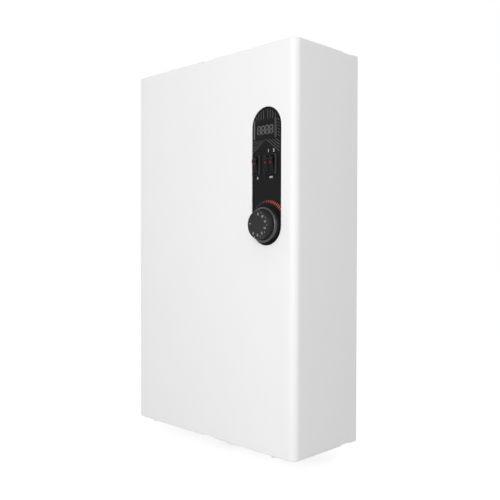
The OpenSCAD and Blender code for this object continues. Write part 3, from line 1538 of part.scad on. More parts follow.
front_cover();
cover_screws();
back_plate();
top_plate();
bottom_plate();
chassis_rivets();
panel_bracket();
fascia_plate();
fascia_nuts();
display_bezel();
display_glass();
display_module();
single_switch_body();
double_switch_body();
pump_rocker();
stage_1_rocker();
stage_2_rocker();
pump_lens();
stage_1_lens();
stage_2_lens();
thermostat_knob();
thermostat_spindle();
thermostat_body();
m4_screws();
sensor_bulbs();
capillary_tubes();
heating_tank();
tank_clamps();
element_flange();
heating_elements();
element_insulators();
element_nuts();
star_bridge();
gaskets();
supply_pipe();
flow_pipe();
return_pipe();
union_nuts();
supply_nut();
pump_volute();
pump_motor();
pump_box();
pump_speed_knob();
pump_rotor();
pump_bolts();
relief_valve_body();
relief_valve_cap();
air_vent();
safety_thermostat();
reset_button();
din_rail();
contactors();
armature_1();
armature_2();
terminal_block();
terminal_screws();
earth_stud();
cable_gland();
locknuts();
wiring();
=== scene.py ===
"""Looks of a wall-hung electric heating boiler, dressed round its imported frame.

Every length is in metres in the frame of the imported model: +Z up, +Y into the wall.
"""

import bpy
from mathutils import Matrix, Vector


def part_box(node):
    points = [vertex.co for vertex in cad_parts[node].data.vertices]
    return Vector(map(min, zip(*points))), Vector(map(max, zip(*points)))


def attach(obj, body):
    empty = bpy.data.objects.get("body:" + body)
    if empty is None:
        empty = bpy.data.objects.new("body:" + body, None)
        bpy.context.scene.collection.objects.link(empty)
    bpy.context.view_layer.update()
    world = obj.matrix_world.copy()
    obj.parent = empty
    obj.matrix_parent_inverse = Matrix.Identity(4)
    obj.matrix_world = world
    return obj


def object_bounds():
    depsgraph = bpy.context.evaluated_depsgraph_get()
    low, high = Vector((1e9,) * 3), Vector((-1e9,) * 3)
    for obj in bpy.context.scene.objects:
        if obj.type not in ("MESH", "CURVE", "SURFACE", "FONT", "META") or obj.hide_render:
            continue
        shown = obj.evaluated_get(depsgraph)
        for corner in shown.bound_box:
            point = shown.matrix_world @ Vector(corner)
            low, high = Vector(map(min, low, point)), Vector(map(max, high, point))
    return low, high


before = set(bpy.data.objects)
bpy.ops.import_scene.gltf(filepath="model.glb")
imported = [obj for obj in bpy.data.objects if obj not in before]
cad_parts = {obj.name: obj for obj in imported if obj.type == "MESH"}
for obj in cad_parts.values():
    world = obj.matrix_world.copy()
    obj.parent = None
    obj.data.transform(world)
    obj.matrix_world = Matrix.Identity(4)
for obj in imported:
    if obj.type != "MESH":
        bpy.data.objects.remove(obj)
FRAME_BOX = [list(corner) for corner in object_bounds()]

import logging
import math
from abc import ABC, abstractmethod
from dataclasses import dataclass
from functools import cache
from typing import Any, Iterable, Mapping, Sequence

import bpy
from mathutils import Matrix, Vector

LOG = logging.getLogger("boiler")
MM = 0.001
Triple = tuple[float, float, float]
Colour = Triple
Flat = tuple[float, float]
Sockets = dict[str, Any]
Socket = bpy.types.NodeSocket

# Places and sizes that the dressing shares with the CAD.
KNOB_AXIS = (130.9 * MM, -222.9 * MM)
KNOB_RING_R = 22.6 * MM
KNOB_RIM_Y = -156.8 * MM
WINDOW_W = 59.2 * MM
WINDOW_TOP = -48 * MM
TANK_TOP = -95 * MM
TANK_BOTTOM = -465 * MM
PIPE_END_Z = -548 * MM
PIPE_Y = -52 * MM
FLOW_X = 70 * MM
RETURN_X = -110 * MM

FIGURE_SHARE = 0.7  # Height of a figure over the font's size.
FIGURE_STEPS = 3  # Points on each curved stretch of a figure.
EDGE_SAMPLES = 4
UNSTRETCHED = (1.0, 1.0, 1.0)
LEVEL_DEG = 90.0  # A camera without any turn looks down.

# Turns a drawing forwards, with its x to the right and its y up.
FORWARDS = Matrix(((1, 0, 0, 0), (0, 0, -1, 0), (0, 1, 0, 0), (0, 0, 0, 1)))


@dataclass(frozen=True, eq=False)
class Signal:
    """A number that varies over a surface; Python's operators add its Math nodes."""

    tree: "NodeTree"
    socket: Socket

    def __add__(self, other: "Number") -> "Signal":
        """The sum."""
        return self.tree.maths("ADD", self, other)

    def __sub__(self, other: "Number") -> "Signal":
        """The difference."""
        return self.tree.maths("SUBTRACT", self, other)

    def __mul__(self, other: "Number") -> "Signal":
        """The product."""
        return self.tree.maths("MULTIPLY", self, other)

    def __pow__(self, other: "Number") -> "Signal":
        """The power."""
        return self.tree.maths("POWER", self, other)

    def __gt__(self, other: "Number") -> "Signal":
        """One where this is the larger, and zero elsewhere."""
        return self.tree.maths("GREATER_THAN", self, other)

    def __abs__(self) -> "Signal":
        """The number without its sign."""
        return self.tree.maths("ABSOLUTE", self, 0.0)

    def joined(self, other: "Signal", share: float) -> "Signal":
        """The sum with another signal that has the given share of it."""
        return self * (1.0 - share) + other * share

    def clipped(self) -> "Signal":
        """The number held between zero and one."""
        return self.tree.maths("ADD", self, 0.0, clip=True)


Number = Signal | float


class NodeTree:
    """A shader's node tree while it is built."""

    def __init__(self, owner: bpy.types.Material | bpy.types.World) -> None:
        """Empties the tree of this material or world."""
        owner.use_nodes = True
        self.nodes = owner.node_tree.nodes
        self.links = owner.node_tree.links
        self.nodes.clear()

    def node(self, kind: str, values: Mapping[Any, Any] | None = None,
             settings: Mapping[str, Any] | None = None) -> bpy.types.Node:
        """Adds one node.

        Args:
            kind: The node's type name.
            values: The values or links of its sockets, by name or number.
            settings: Its own settings, set first.

        Returns:
            The node.
        """
        made = self.nodes.new(kind)
        for key, value in (settings or {}).items():
            setattr(made, key, value)
        for key, value in (values or {}).items():
            self.feed(made.inputs[key], value)
        return made

    def feed(self, socket: Socket, value: Any) -> None:
        """Links or sets one input socket.

        Args:
            socket: The input.
            value: A Signal or an output socket to link, or a plain value.
        """
        if isinstance(value, Signal):
            self.links.new(value.socket, socket)
        elif isinstance(value, Socket):
            self.links.new(value, socket)
        elif isinstance(value, tuple) and len(value) == 3 and socket.type == "RGBA":
            socket.default_value = (*value, 1.0)
        else:
            socket.default_value = value

    def maths(self, operation: str, first: Number, second: Number, clip: bool = False) -> Signal:
        """One Math node on two numbers, held between zero and one where clip is set."""
        made = self.node("ShaderNodeMath", {0: first, 1: second},
                         {"operation": operation, "use_clamp": clip})
        return Signal(self, made.outputs[0])

    def seen(self) -> Signal:
        """One for rays that show the background: straight, in gloss or through glass."""
        rays = self.node("ShaderNodeLightPath").outputs
        straight, gloss, glass = (Signal(self, rays[f"Is {kind} Ray"])
                                  for kind in ("Camera", "Glossy", "Transmission"))
        return self.maths("MAXIMUM", self.maths("MAXIMUM", straight, gloss), glass)

    def shader(self, kind: str, **values: Any) -> Socket:
        """The output of one plain shader, its sockets' values given by name."""
        return self.node(kind, values).outputs[0]

    def mixed(self, share: Any, first: Any, second: Any) -> Socket:
        """A mix of two shaders, with the given share of the second."""
        return self.node("ShaderNodeMixShader", {0: share, 1: first, 2: second}).outputs[0]


class SurfaceTree(NodeTree):
    """The node tree of one material, from which a finish takes its patterns."""

    def __init__(self, name: str) -> None:
        """Starts an empty material."""
        self.material = bpy.data.materials.new(name)
        super().__init__(self.material)

    def point(self, stretch: Triple = UNSTRETCHED) -> Socket:
        """The place on the piece in metres, times a factor along each axis."""
        made = self.node("ShaderNodeTexCoord").outputs["Object"]
        if stretch == UNSTRETCHED:
            return made
        return self.node("ShaderNodeMapping", {"Vector": made, "Scale": stretch}).outputs[0]

    def axis(self, index: int) -> Signal:
        """One coordinate of the place on the piece: 0 for x, 1 for y and 2 for z."""
        split = self.node("ShaderNodeSeparateXYZ", {"Vector": self.point()})
        return Signal(self, split.outputs[index])

    def noise(self, grain: float, detail: float = 2.0, stretch: Triple = UNSTRETCHED) -> Signal:
        """Soft noise around one half, in patches of the grain's size."""
        made = self.node("ShaderNodeTexNoise", {
            "Vector": self.point(stretch), "Scale": 1.0 / grain, "Detail": detail})
        return Signal(self, made.outputs["Fac"])

    def cells(self, grain: float) -> Signal:
        """A random tone from zero to one for each of many angular cells of the grain's size."""
        made = self.node("ShaderNodeTexVoronoi", {"Vector": self.point(), "Scale": 1.0 / grain})
        split = self.node("ShaderNodeSeparateColor", {0: made.outputs["Color"]})
        return Signal(self, split.outputs[0])

    def ramp(self, level: Any, stops: Sequence[tuple[float, Colour]],
             run: str = "LINEAR") -> Socket:
        """A colour for each level.

        Args:
            level: The signal or output that gives the level.
            stops: Position and colour of each stop, in rising order.
            run: How the colour runs from one stop to the next.

        Returns:
            The colour output.
        """
        made = self.node("ShaderNodeValToRGB", {0: level})
        made.color_ramp.interpolation = run
        elements = made.color_ramp.elements
        while len(elements) < len(stops):
            elements.new(1.0)
        for element, (position, colour) in zip(elements, stops):
            element.position = position
            element.color = (*colour, 1.0)
        return made.outputs[0]

    def blend(self, share: Number, first: Any, second: Any) -> Socket:
        """A mix of two colours, with the given share of the second."""
        made = self.node("ShaderNodeMix", {0: share, 6: first, 7: second}, {"data_type": "RGBA"})
        return made.outputs[2]

    def relief(self, height: Signal, depth: float, edge: float) -> Socket:
        """A bumped normal.

        Args:
            height: The relief, from zero to one.
            depth: Its real depth.
            edge: Radius that corners look rounded by, or zero.

        Returns:
            The normal output.
        """
        values: dict[str, Any] = {"Height": height, "Distance": depth, "Strength": 1.0}
        if edge > 0.0:
            values["Normal"] = self.soft_edge(edge)
        return self.node("ShaderNodeBump", values).outputs[0]

    def soft_edge(self, radius: float) -> Socket:
        """A normal that runs round corners at the given radius."""
        made = self.node("ShaderNodeBevel", {"Radius": radius}, {"samples": EDGE_SAMPLES})
        return made.outputs[0]

    def close(self, values: Mapping[str, Any]) -> None:
        """Ends the tree in one Principled shader with these values and links."""
        shader = self.node("ShaderNodeBsdfPrincipled", values)
        self.node("ShaderNodeOutputMaterial", {"Surface": shader.outputs[0]})


@dataclass(frozen=True)
class Finish(ABC):
    """A surface finish: its colour and how rough it is."""

    name: str
    colour: Colour
    roughness: float = 0.5
    edge: float = 0.3 * MM
    SPREAD = 0.10

    @abstractmethod
    def sockets(self, tree: SurfaceTree) -> Sockets:
        """The values and links of the shader's sockets.

        Args:
            tree: The material's tree.

        Returns:
            Value or link by socket name.
        """

    def toned(self, tree: SurfaceTree, tone: Signal) -> Socket:
        """The finish's colour, a little darker and lighter from place to place.

        Args:
            tree: The material's tree.
            tone: The signal that varies it.

        Returns:
            The colour output.
        """
        dark = tuple(c * (1.0 - self.SPREAD) for c in self.colour)
        light = tuple(min(1.0, c * (1.0 + self.SPREAD)) for c in self.colour)
        return tree.blend(tone, dark, light)

    @cache
    def material(self) -> bpy.types.Material:
        """The finish's material, made once."""
        tree = SurfaceTree(self.name)
        tree.close(self.sockets(tree))
        return tree.material


@dataclass(frozen=True)
class PowderCoat(Finish):
    """Stoved powder paint on sheet: even, satin, with a fine orange peel."""

    peel: float = 1.4 * MM
    peel_depth: float = 0.006 * MM
    CLOUD = 140 * MM
    SPECK = 0.5 * MM
    SPECK_SHARE = 0.2
    SPREAD = 0.012
    ROUGH_SPREAD = 0.06

    def sockets(self, tree: SurfaceTree) -> Sockets:
        """The shader's values and links."""
        cloud = tree.noise(self.CLOUD, detail=1.0)
        speck = tree.noise(self.SPECK, detail=1.0)
        return {
            "Base Color": self.toned(tree, cloud.joined(speck, self.SPECK_SHARE)),
            "Roughness": cloud * self.ROUGH_SPREAD + (self.roughness - self.ROUGH_SPREAD / 2),
            "Normal": tree.relief(tree.noise(self.peel, detail=1.0), self.peel_depth, self.edge),
        }


@dataclass(frozen=True)
class ZincSheet(Finish):
    """Hot-dip galvanised sheet with its spangle."""

    spangle: float = 11 * MM
    STAIN = 45 * MM
    STAIN_SHARE = 0.35
    BRUSH = 1.2 * MM
    BRUSH_STRETCH = (1.0, 1.0, 0.05)
    BRUSH_SHARE = 0.5
    SPREAD = 0.14
    METALLIC = 0.9
    FLAKE_ROUGH = 0.14
    STAIN_ROUGH = 0.10
    DEPTH = 0.01 * MM

    def sockets(self, tree: SurfaceTree) -> Sockets:
        """The shader's values and links."""
        flake = tree.cells(self.spangle)
        stain = tree.noise(self.STAIN, detail=3.0)
        brush = tree.noise(self.BRUSH, detail=2.0, stretch=self.BRUSH_STRETCH)
        smoothest = self.roughness - (self.FLAKE_ROUGH + self.STAIN_ROUGH) / 2
        return {
            "Base Color": self.toned(tree, flake.joined(stain, self.STAIN_SHARE)),
            "Metallic": self.METALLIC,
            "Roughness": flake * self.FLAKE_ROUGH + stain * self.STAIN_ROUGH + smoothest,
            "Normal": tree.relief(flake.joined(brush, self.BRUSH_SHARE), self.DEPTH, self.edge),
        }


@dataclass(frozen=True)
class WorkedMetal(Finish):
    """Turned, drawn or brushed metal with fine lines and some tarnish."""

    tarnish: Colour = (0.20, 0.13, 0.07)
    tarnish_share: float = 0.35
    lines: Triple = (1.0, 1.0, 12.0)
    STAIN = 14 * MM
    STAIN_GAIN = 2.6
    STAIN_START = 0.9
    LINE = 3 * MM
    STAIN_ROUGH = 0.45
    LINE_ROUGH = 0.10
    DEPTH = 0.012 * MM

    def sockets(self, tree: SurfaceTree) -> Sockets:
        """The shader's values and links."""
        spots = tree.noise(self.STAIN, detail=5.0)
        patches = (spots * self.STAIN_GAIN - self.STAIN_START).clipped()
        stain = patches * self.tarnish_share
        line = tree.noise(self.LINE, detail=3.0, stretch=self.lines)
        smoothest = self.roughness - self.LINE_ROUGH / 2
        return {
            "Base Color": tree.blend(stain, self.toned(tree, line), self.tarnish),
            "Metallic": 1.0,
            "Roughness": stain * self.STAIN_ROUGH + line * self.LINE_ROUGH + smoothest,
            "Normal": tree.relief(line, self.DEPTH, self.edge),
        }


@dataclass(frozen=True)
class Moulded(Finish):
    """Moulded plastic with a fine eroded grain and faint flow marks."""

    grain: float = 0.35 * MM
    grain_depth: float = 0.012 * MM
    coat: float = 0.0
    shine: float = 0.5
    FLOW = 22 * MM
    FLOW_STRETCH = (1.0, 1.0, 0.3)
    GRAIN_SHARE = 0.4
    FLOW_ROUGH = 0.08
    GRAIN_ROUGH = 0.06
    COAT_ROUGHNESS = 0.12

    def sockets(self, tree: SurfaceTree) -> Sockets:
        """The shader's values and links."""
        flow = tree.noise(self.FLOW, detail=3.0, stretch=self.FLOW_STRETCH)
        grain = tree.noise(self.grain, detail=1.0)
        smoothest = self.roughness - (self.FLOW_ROUGH + self.GRAIN_ROUGH) / 2
        return {
            "Base Color": self.toned(tree, flow.joined(grain, self.GRAIN_SHARE)),
            "Roughness": flow * self.FLOW_ROUGH + grain * self.GRAIN_ROUGH + smoothest,
            "Specular IOR Level": self.shine,
            "Coat Weight": self.coat,
            "Coat Roughness": self.COAT_ROUGHNESS,
            "Normal": tree.relief(grain, self.grain_depth, self.edge),
        }


@dataclass(frozen=True)
class DialPlastic(Moulded):
    """Matt moulded plastic with a polished rim round an axis along y."""

    axis: Flat = (0.0, 0.0)
    ring_r: float = 22 * MM
    ring_y: float = 0.0

    def sockets(self, tree: SurfaceTree) -> Sockets:
        """The shader's values and links."""
        made = super().sockets(tree)
        across, up = tree.axis(0) - self.axis[0], tree.axis(2) - self.axis[1]
        radius = (across ** 2.0 + up ** 2.0) ** 0.5
        rim = (radius > self.ring_r) * (tree.axis(1) * -1.0 > -self.ring_y)
        made["Coat Weight"] = rim * self.coat
        return made


@dataclass(frozen=True)
class FramePlastic(Moulded):
    """Moulded plastic with a matt front, painted lighter on the faces and edges that look aside as
    a painted highlight.
    """

    aside: float = 0.25
    # Colour of the painted highlight on the faces and edges that look aside.
    painted_highlight: Colour = (0.085, 0.085, 0.087)

    def sockets(self, tree: SurfaceTree) -> Sockets:
        """The shader's values and links."""
        made = super().sockets(tree)
        split = tree.node("ShaderNodeSeparateXYZ", {"Vector": tree.soft_edge(2 * self.edge)})
        aside = abs(Signal(tree, split.outputs[0])) > self.aside
        # Painted highlight: faces and rounded edges that look aside get a lighter base colour in
        # place of lamp reflections.
        made["Base Color"] = tree.blend(aside, made["Base Color"], self.painted_highlight)
        made["Coat Weight"] = aside * self.coat
        return made


@dataclass(frozen=True)
class BrazedPipe(WorkedMetal):
    """Drawn pipe with a machined end of another metal brazed to its lower end."""

    end_colour: Colour = (0.74, 0.53, 0.24)
    braze_colour: Colour = (0.70, 0.66, 0.55)
    end_z: float = 0.0
    fillet: float = 2 * MM

    def sockets(self, tree: SurfaceTree) -> Sockets:
        """The shader's values and links."""
        made = super().sockets(tree)
        below = tree.axis(2) * -1.0
        end = below > -self.end_z
        braze = (below > -self.end_z - self.fillet) - end
        pipe = tree.blend(end, made["Base Color"], self.end_colour)
        made["Base Color"] = tree.blend(braze, pipe, self.braze_colour)
        return made


@dataclass(frozen=True)
class CableSet(Moulded):
    """Sleeves of a cable set, each wire in one of the usual colours."""

    hues: tuple[Colour, ...] = (
        (0.012, 0.012, 0.013), (0.11, 0.035, 0.012), (0.02, 0.07, 0.33), (0.17, 0.17, 0.17))
    dust: Colour = (0.3, 0.3, 0.3)
    DUST = 5 * MM
    DUST_SHARE = 0.2

    def sockets(self, tree: SurfaceTree) -> Sockets:
        """The shader's values and links."""
        made = super().sockets(tree)
        wire = tree.node("ShaderNodeNewGeometry").outputs["Random Per Island"]
        stops = [(i / len(self.hues), hue) for i, hue in enumerate(self.hues)]
        sleeve = tree.ramp(wire, stops, run="CONSTANT")
        share = tree.noise(self.DUST, detail=2.0) * self.DUST_SHARE
        made["Base Color"] = tree.blend(share, sleeve, self.dust)
        return made


@dataclass(frozen=True)
class Casting(Finish):
    """A sand-cast or stove-enamelled surface with a coarse skin."""

    skin: float = 1.6 * MM
    skin_depth: float = 0.12 * MM
    WEAR = 18 * MM
    SKIN_SHARE = 0.3
    SPREAD = 0.22
    ROUGH_SPREAD = 0.18

    def sockets(self, tree: SurfaceTree) -> Sockets:
        """The shader's values and links."""
        skin = tree.noise(self.skin, detail=4.0)
        wear = tree.noise(self.WEAR, detail=4.0)
        return {
            "Base Color": self.toned(tree, wear.joined(skin, self.SKIN_SHARE)),
            "Roughness": wear * self.ROUGH_SPREAD + (self.roughness - self.ROUGH_SPREAD / 2),
            "Normal": tree.relief(skin, self.skin_depth, 2 * self.edge),
        }


@dataclass(frozen=True)
class ClearPane(Finish):
    """A thin tinted pane that shows what is behind it."""

    cover: float = 0.3
    SMEAR = 6 * MM
    SPREAD = 0.15
    SMEAR_ROUGH = 0.05
    SMEAR_COVER = 0.06

    def sockets(self, tree: SurfaceTree) -> Sockets:
        """The shader's values and links."""
        smear = tree.noise(self.SMEAR, detail=3.0)
        return {
            "Base Color": self.toned(tree, smear),
            "Roughness": smear * self.SMEAR_ROUGH + self.roughness,
            "Alpha": smear * self.SMEAR_COVER + (self.cover - self.SMEAR_COVER / 2),
        }


@dataclass(frozen=True)
class ClearLens(Finish):
    """Deep-coloured clear plastic, ribbed inside."""

    rib: float = 0.8 * MM
    WAVES = 3.0
    SHADE = 0.55
    RIB_ROUGH = 0.05
    RIB_DEPTH = 0.03 * MM
    SHINE = 0.2

    def sockets(self, tree: SurfaceTree) -> Sockets:
        """The shader's values and links."""
        rib = tree.node("ShaderNodeTexWave", {
            "Vector": tree.point(), "Scale": 1.0 / self.rib / self.WAVES}, {"bands_direction": "X"})
        ribs = Signal(tree, rib.outputs["Fac"])
        shade = tuple(c * self.SHADE for c in self.colour)
        return {
            "Base Color": tree.blend(ribs, shade, self.colour),
            "Roughness": ribs * self.RIB_ROUGH + self.roughness,
            "Specular IOR Level": self.SHINE,
            "Normal": tree.relief(ribs, self.RIB_DEPTH, self.edge),
        }


@dataclass(frozen=True)
class Board(Finish):
    """A lacquered circuit board with its copper tracks, behind a dark display cell."""

    track: float = 1.3 * MM
    cell_colour: Colour = (0.022, 0.023, 0.024)
    cell_y: float = -147 * MM
    BRICK = 4.0
    SHADE = 0.8
    TRACK_GAIN = 2.2
    TRACK_WIDTH = 0.05
    TRACK_DEPTH = 0.03 * MM
    CLOUD = 4 * MM
    ROUGH_SPREAD = 0.1

    def sockets(self, tree: SurfaceTree) -> Sockets:
        """The shader's values and links."""
        made = tree.node("ShaderNodeTexBrick", {
            "Vector": tree.point(), "Scale": 1.0 / self.track / self.BRICK,
            "Color1": self.colour, "Color2": tuple(c * self.SHADE for c in self.colour),
            "Mortar": tuple(min(1.0, c * self.TRACK_GAIN) for c in self.colour),
            "Mortar Size": self.TRACK_WIDTH})
        cell = (tree.axis(1) * -1.0) > -self.cell_y
        tracks = Signal(tree, made.outputs["Fac"])
        return {
            "Base Color": tree.blend(cell, made.outputs["Color"], self.cell_colour),
            "Roughness": tree.noise(self.CLOUD) * self.ROUGH_SPREAD + self.roughness,
            "Normal": tree.relief(tracks, self.TRACK_DEPTH, self.edge),
        }


@dataclass(frozen=True)
class Ink(Finish):
    """Screen-printed ink, a little thin in places."""

    THIN = 0.6 * MM
    SPREAD = 0.15
    THIN_ROUGH = 0.1
    SHINE = 0.2

    def sockets(self, tree: SurfaceTree) -> Sockets:
        """The shader's values and links."""
        thin = tree.noise(self.THIN, detail=3.0)
        return {
            "Base Color": self.printed(tree, thin),
            "Roughness": thin * self.THIN_ROUGH + self.roughness,
            "Specular IOR Level": self.SHINE,
        }

    def printed(self, tree: SurfaceTree, thin: Signal) -> Socket:
        """The ink's colour, lighter or darker where it is thin."""
        return self.toned(tree, thin)


@dataclass(frozen=True)
class ArcInk(Ink):
    """Printed ink that runs from one colour through a second to a third along x."""

    middle: Colour = (0.24, 0.07, 0.14)
    last: Colour = (0.95, 0.17, 0.08)
    ground: Colour = (0.02, 0.02, 0.02)
    turns: Flat = (0.42, 0.62)
    centre: float = 0.0
    reach: float = 30 * MM
    THIN_SHARE = 0.25

    def printed(self, tree: SurfaceTree, thin: Signal) -> Socket:
        """The ink's colour, the ground showing where it is thin."""
        along = ((tree.axis(0) - self.centre) * (0.5 / self.reach) + 0.5).clipped()
        stops = [(0.0, self.colour), (self.turns[0], self.middle), (self.turns[1], self.last),
                 (1.0, self.last)]
        return tree.blend(thin * self.THIN_SHARE, tree.ramp(along, stops), self.ground)


class Paint:
    """Every finish of the boiler."""

    WHITE = PowderCoat("white_powder_coat", (0.866, 0.866, 0.868), 0.55, 0.4 * MM)
    ZINC = ZincSheet("galvanised_sheet", (0.62, 0.64, 0.66), 0.42)
    STEEL = WorkedMetal("zinc_plated_steel", (0.66, 0.67, 0.69), 0.32, 0.2 * MM,
                        tarnish=(0.34, 0.32, 0.28), tarnish_share=0.2)
    STAINLESS = WorkedMetal("rolled_stainless", (0.60, 0.60, 0.61), 0.34, 0.5 * MM,
                            tarnish=(0.33, 0.30, 0.26), tarnish_share=0.25,
                            lines=(1.0, 1.0, 16.0))
    WELD = WorkedMetal("weld_seam", (0.50, 0.47, 0.43), 0.36, 0.2 * MM,
                       tarnish=(0.26, 0.17, 0.10), tarnish_share=0.6)
    SHEATH = WorkedMetal("element_sheath", (0.22, 0.21, 0.20), 0.5,
                         tarnish=(0.10, 0.07, 0.05), tarnish_share=0.5)
    BRASS = WorkedMetal("machined_brass", (0.74, 0.53, 0.24), 0.28, 0.35 * MM,
                        tarnish=(0.34, 0.20, 0.08))
    DRAWN = {"tarnish": (0.24, 0.10, 0.06), "tarnish_share": 0.5, "lines": (6.0, 6.0, 1.0)}
    COPPER = WorkedMetal("drawn_copper", (0.76, 0.38, 0.24), 0.3, **DRAWN)
    PIPE = BrazedPipe("brazed_copper", (0.76, 0.38, 0.24), 0.3, **DRAWN, end_z=PIPE_END_Z)
    FASCIA = Moulded("fascia_film", (0.0066, 0.0066, 0.0070), 0.5, 0.15 * MM,
                     grain=0.22 * MM, grain_depth=0.006 * MM, shine=0.10)
    SWITCH = Moulded("switch_nylon", (0.0045, 0.0045, 0.0049), 0.36, 0.25 * MM,
                     grain=0.3 * MM, grain_depth=0.006 * MM, shine=0.14)
    # Both frame finishes carry a painted highlight on their faces and edges that look aside.
    FRAME = FramePlastic("switch_frame", (0.0050, 0.0050, 0.0054), 0.34, 0.4 * MM,
                         grain=0.3 * MM, grain_depth=0.006 * MM, coat=0.8, shine=0.14)
    BEZEL = FramePlastic("bezel_black", (0.0050, 0.0050, 0.0054), 0.34, 0.15 * MM,
                         grain=0.3 * MM, grain_depth=0.006 * MM, coat=1.0, shine=0.12,
                         painted_highlight=(0.014, 0.014, 0.0145))
    KNOB = DialPlastic("dial_plastic", (0.0265, 0.0265, 0.0275), 0.45,
                       grain_depth=0.02 * MM, coat=1.0, shine=0.12,
                       axis=KNOB_AXIS, ring_r=KNOB_RING_R, ring_y=KNOB_RIM_Y)
    BLACK = Moulded("black_nylon", (0.025, 0.025, 0.027), 0.5, 0.4 * MM)
    GREY = Moulded("light_grey_nylon", (0.62, 0.62, 0.60), 0.45)
    IVORY = Moulded("ivory_nylon", (0.72, 0.69, 0.58), 0.45)
    BLUE = Moulded("blue_nylon", (0.03, 0.10, 0.40), 0.4, 0.25 * MM)
    ORANGE = Moulded("orange_nylon", (0.75, 0.20, 0.02), 0.42, 0.35 * MM)
    RED = Moulded("red_nylon", (0.50, 0.02, 0.02), 0.35, 0.35 * MM)
    CAST = Casting("coated_cast_iron", (0.10, 0.105, 0.11), 0.55)
    ENAMEL = Casting("stoved_red_enamel", (0.30, 0.025, 0.02), 0.36, 0.4 * MM,
                     skin=3 * MM, skin_depth=0.03 * MM)
    CERAMIC = Moulded("fired_ceramic", (0.78, 0.74, 0.64), 0.55,
                      grain=0.6 * MM, grain_depth=0.02 * MM)
    FIBRE = Casting("fibre_gasket", (0.07, 0.20, 0.13), 0.8, 0.2 * MM,
                    skin=0.8 * MM, skin_depth=0.05 * MM)
    PANE = ClearPane("tinted_pane", (0.02, 0.02, 0.022), 0.12, 0.0, cover=0.35)
    LENS = ClearLens("ruby_plastic", (0.17, 0.004, 0.008), 0.3, 0.15 * MM)
    BOARD = Board("circuit_board", (0.02, 0.11, 0.05), 0.35, 0.15 * MM)
    WIRE = CableSet("wire_insulation", (0.02, 0.05, 0.30), 0.45, 0.0, grain=0.5 * MM)
    WHITE_INK = Ink("white_ink", (0.62, 0.62, 0.62), 0.5, 0.0)
    GREY_INK = Ink("grey_ink", (0.21, 0.21, 0.215), 0.5, 0.0)
    DIAL_INK = Ink("dial_ink", (0.36, 0.36, 0.37), 0.5, 0.0)
    SEGMENT_INK = Ink("display_segments", (0.135, 0.136, 0.138), 0.35, 0.0)


# Which nodes of the CAD wear each finish.
NODE_FINISH: dict[Finish, tuple[str, ...]] = {
    Paint.WHITE: ("front_cover",),
    Paint.ZINC: ("back_plate", "top_plate", "bottom_plate", "panel_bracket", "din_rail"),
    Paint.STEEL: ("cover_screws", "chassis_rivets", "fascia_nuts", "m4_screws", "pump_bolts",
                  "terminal_screws", "element_nuts", "pump_rotor", "tank_clamps",
                  "thermostat_body", "safety_thermostat"),
    Paint.FASCIA: ("fascia_plate",),
    Paint.BEZEL: ("display_bezel",),
    Paint.FRAME: ("single_switch_body", "double_switch_body"),
    Paint.SWITCH: ("pump_rocker", "stage_1_rocker", "stage_2_rocker"),
    Paint.PANE: ("display_glass",),
    Paint.BOARD: ("display_module",),
    Paint.LENS: ("pump_lens", "stage_1_lens", "stage_2_lens"),
    Paint.KNOB: ("thermostat_knob",),
    Paint.BRASS: ("element_flange", "union_nuts", "supply_nut", "locknuts", "relief_valve_body",
                  "air_vent", "earth_stud", "thermostat_spindle"),
    Paint.COPPER: ("supply_pipe", "sensor_bulbs", "capillary_tubes", "star_bridge"),
    Paint.PIPE: ("flow_pipe", "return_pipe"),
    Paint.STAINLESS: ("heating_tank",),
    Paint.SHEATH: ("heating_elements",),
    Paint.CERAMIC: ("element_insulators",),
    Paint.FIBRE: ("gaskets",),
    Paint.CAST: ("pump_volute",),
    Paint.ENAMEL: ("pump_motor",),
    Paint.BLACK: ("pump_box", "cable_gland"),
    Paint.ORANGE: ("pump_speed_knob",),
    Paint.RED: ("relief_valve_cap", "reset_button"),
    Paint.GREY: ("contactors",),
    Paint.IVORY: ("terminal_block",),
    Paint.BLUE: ("armature_1", "armature_2"),
    Paint.WIRE: ("wiring",),
}


def facing_front(origin: Sequence[float]) -> Matrix:
    """Placement of a drawing that faces forwards, its own origin at this place."""
    return Matrix.Translation(origin) @ FORWARDS


def new_object(name: str, data: bpy.types.ID) -> bpy.types.Object:
    """A new object in the scene."""
    made = bpy.data.objects.new(name, data)
    bpy.context.scene.collection.objects.link(made)
    return made


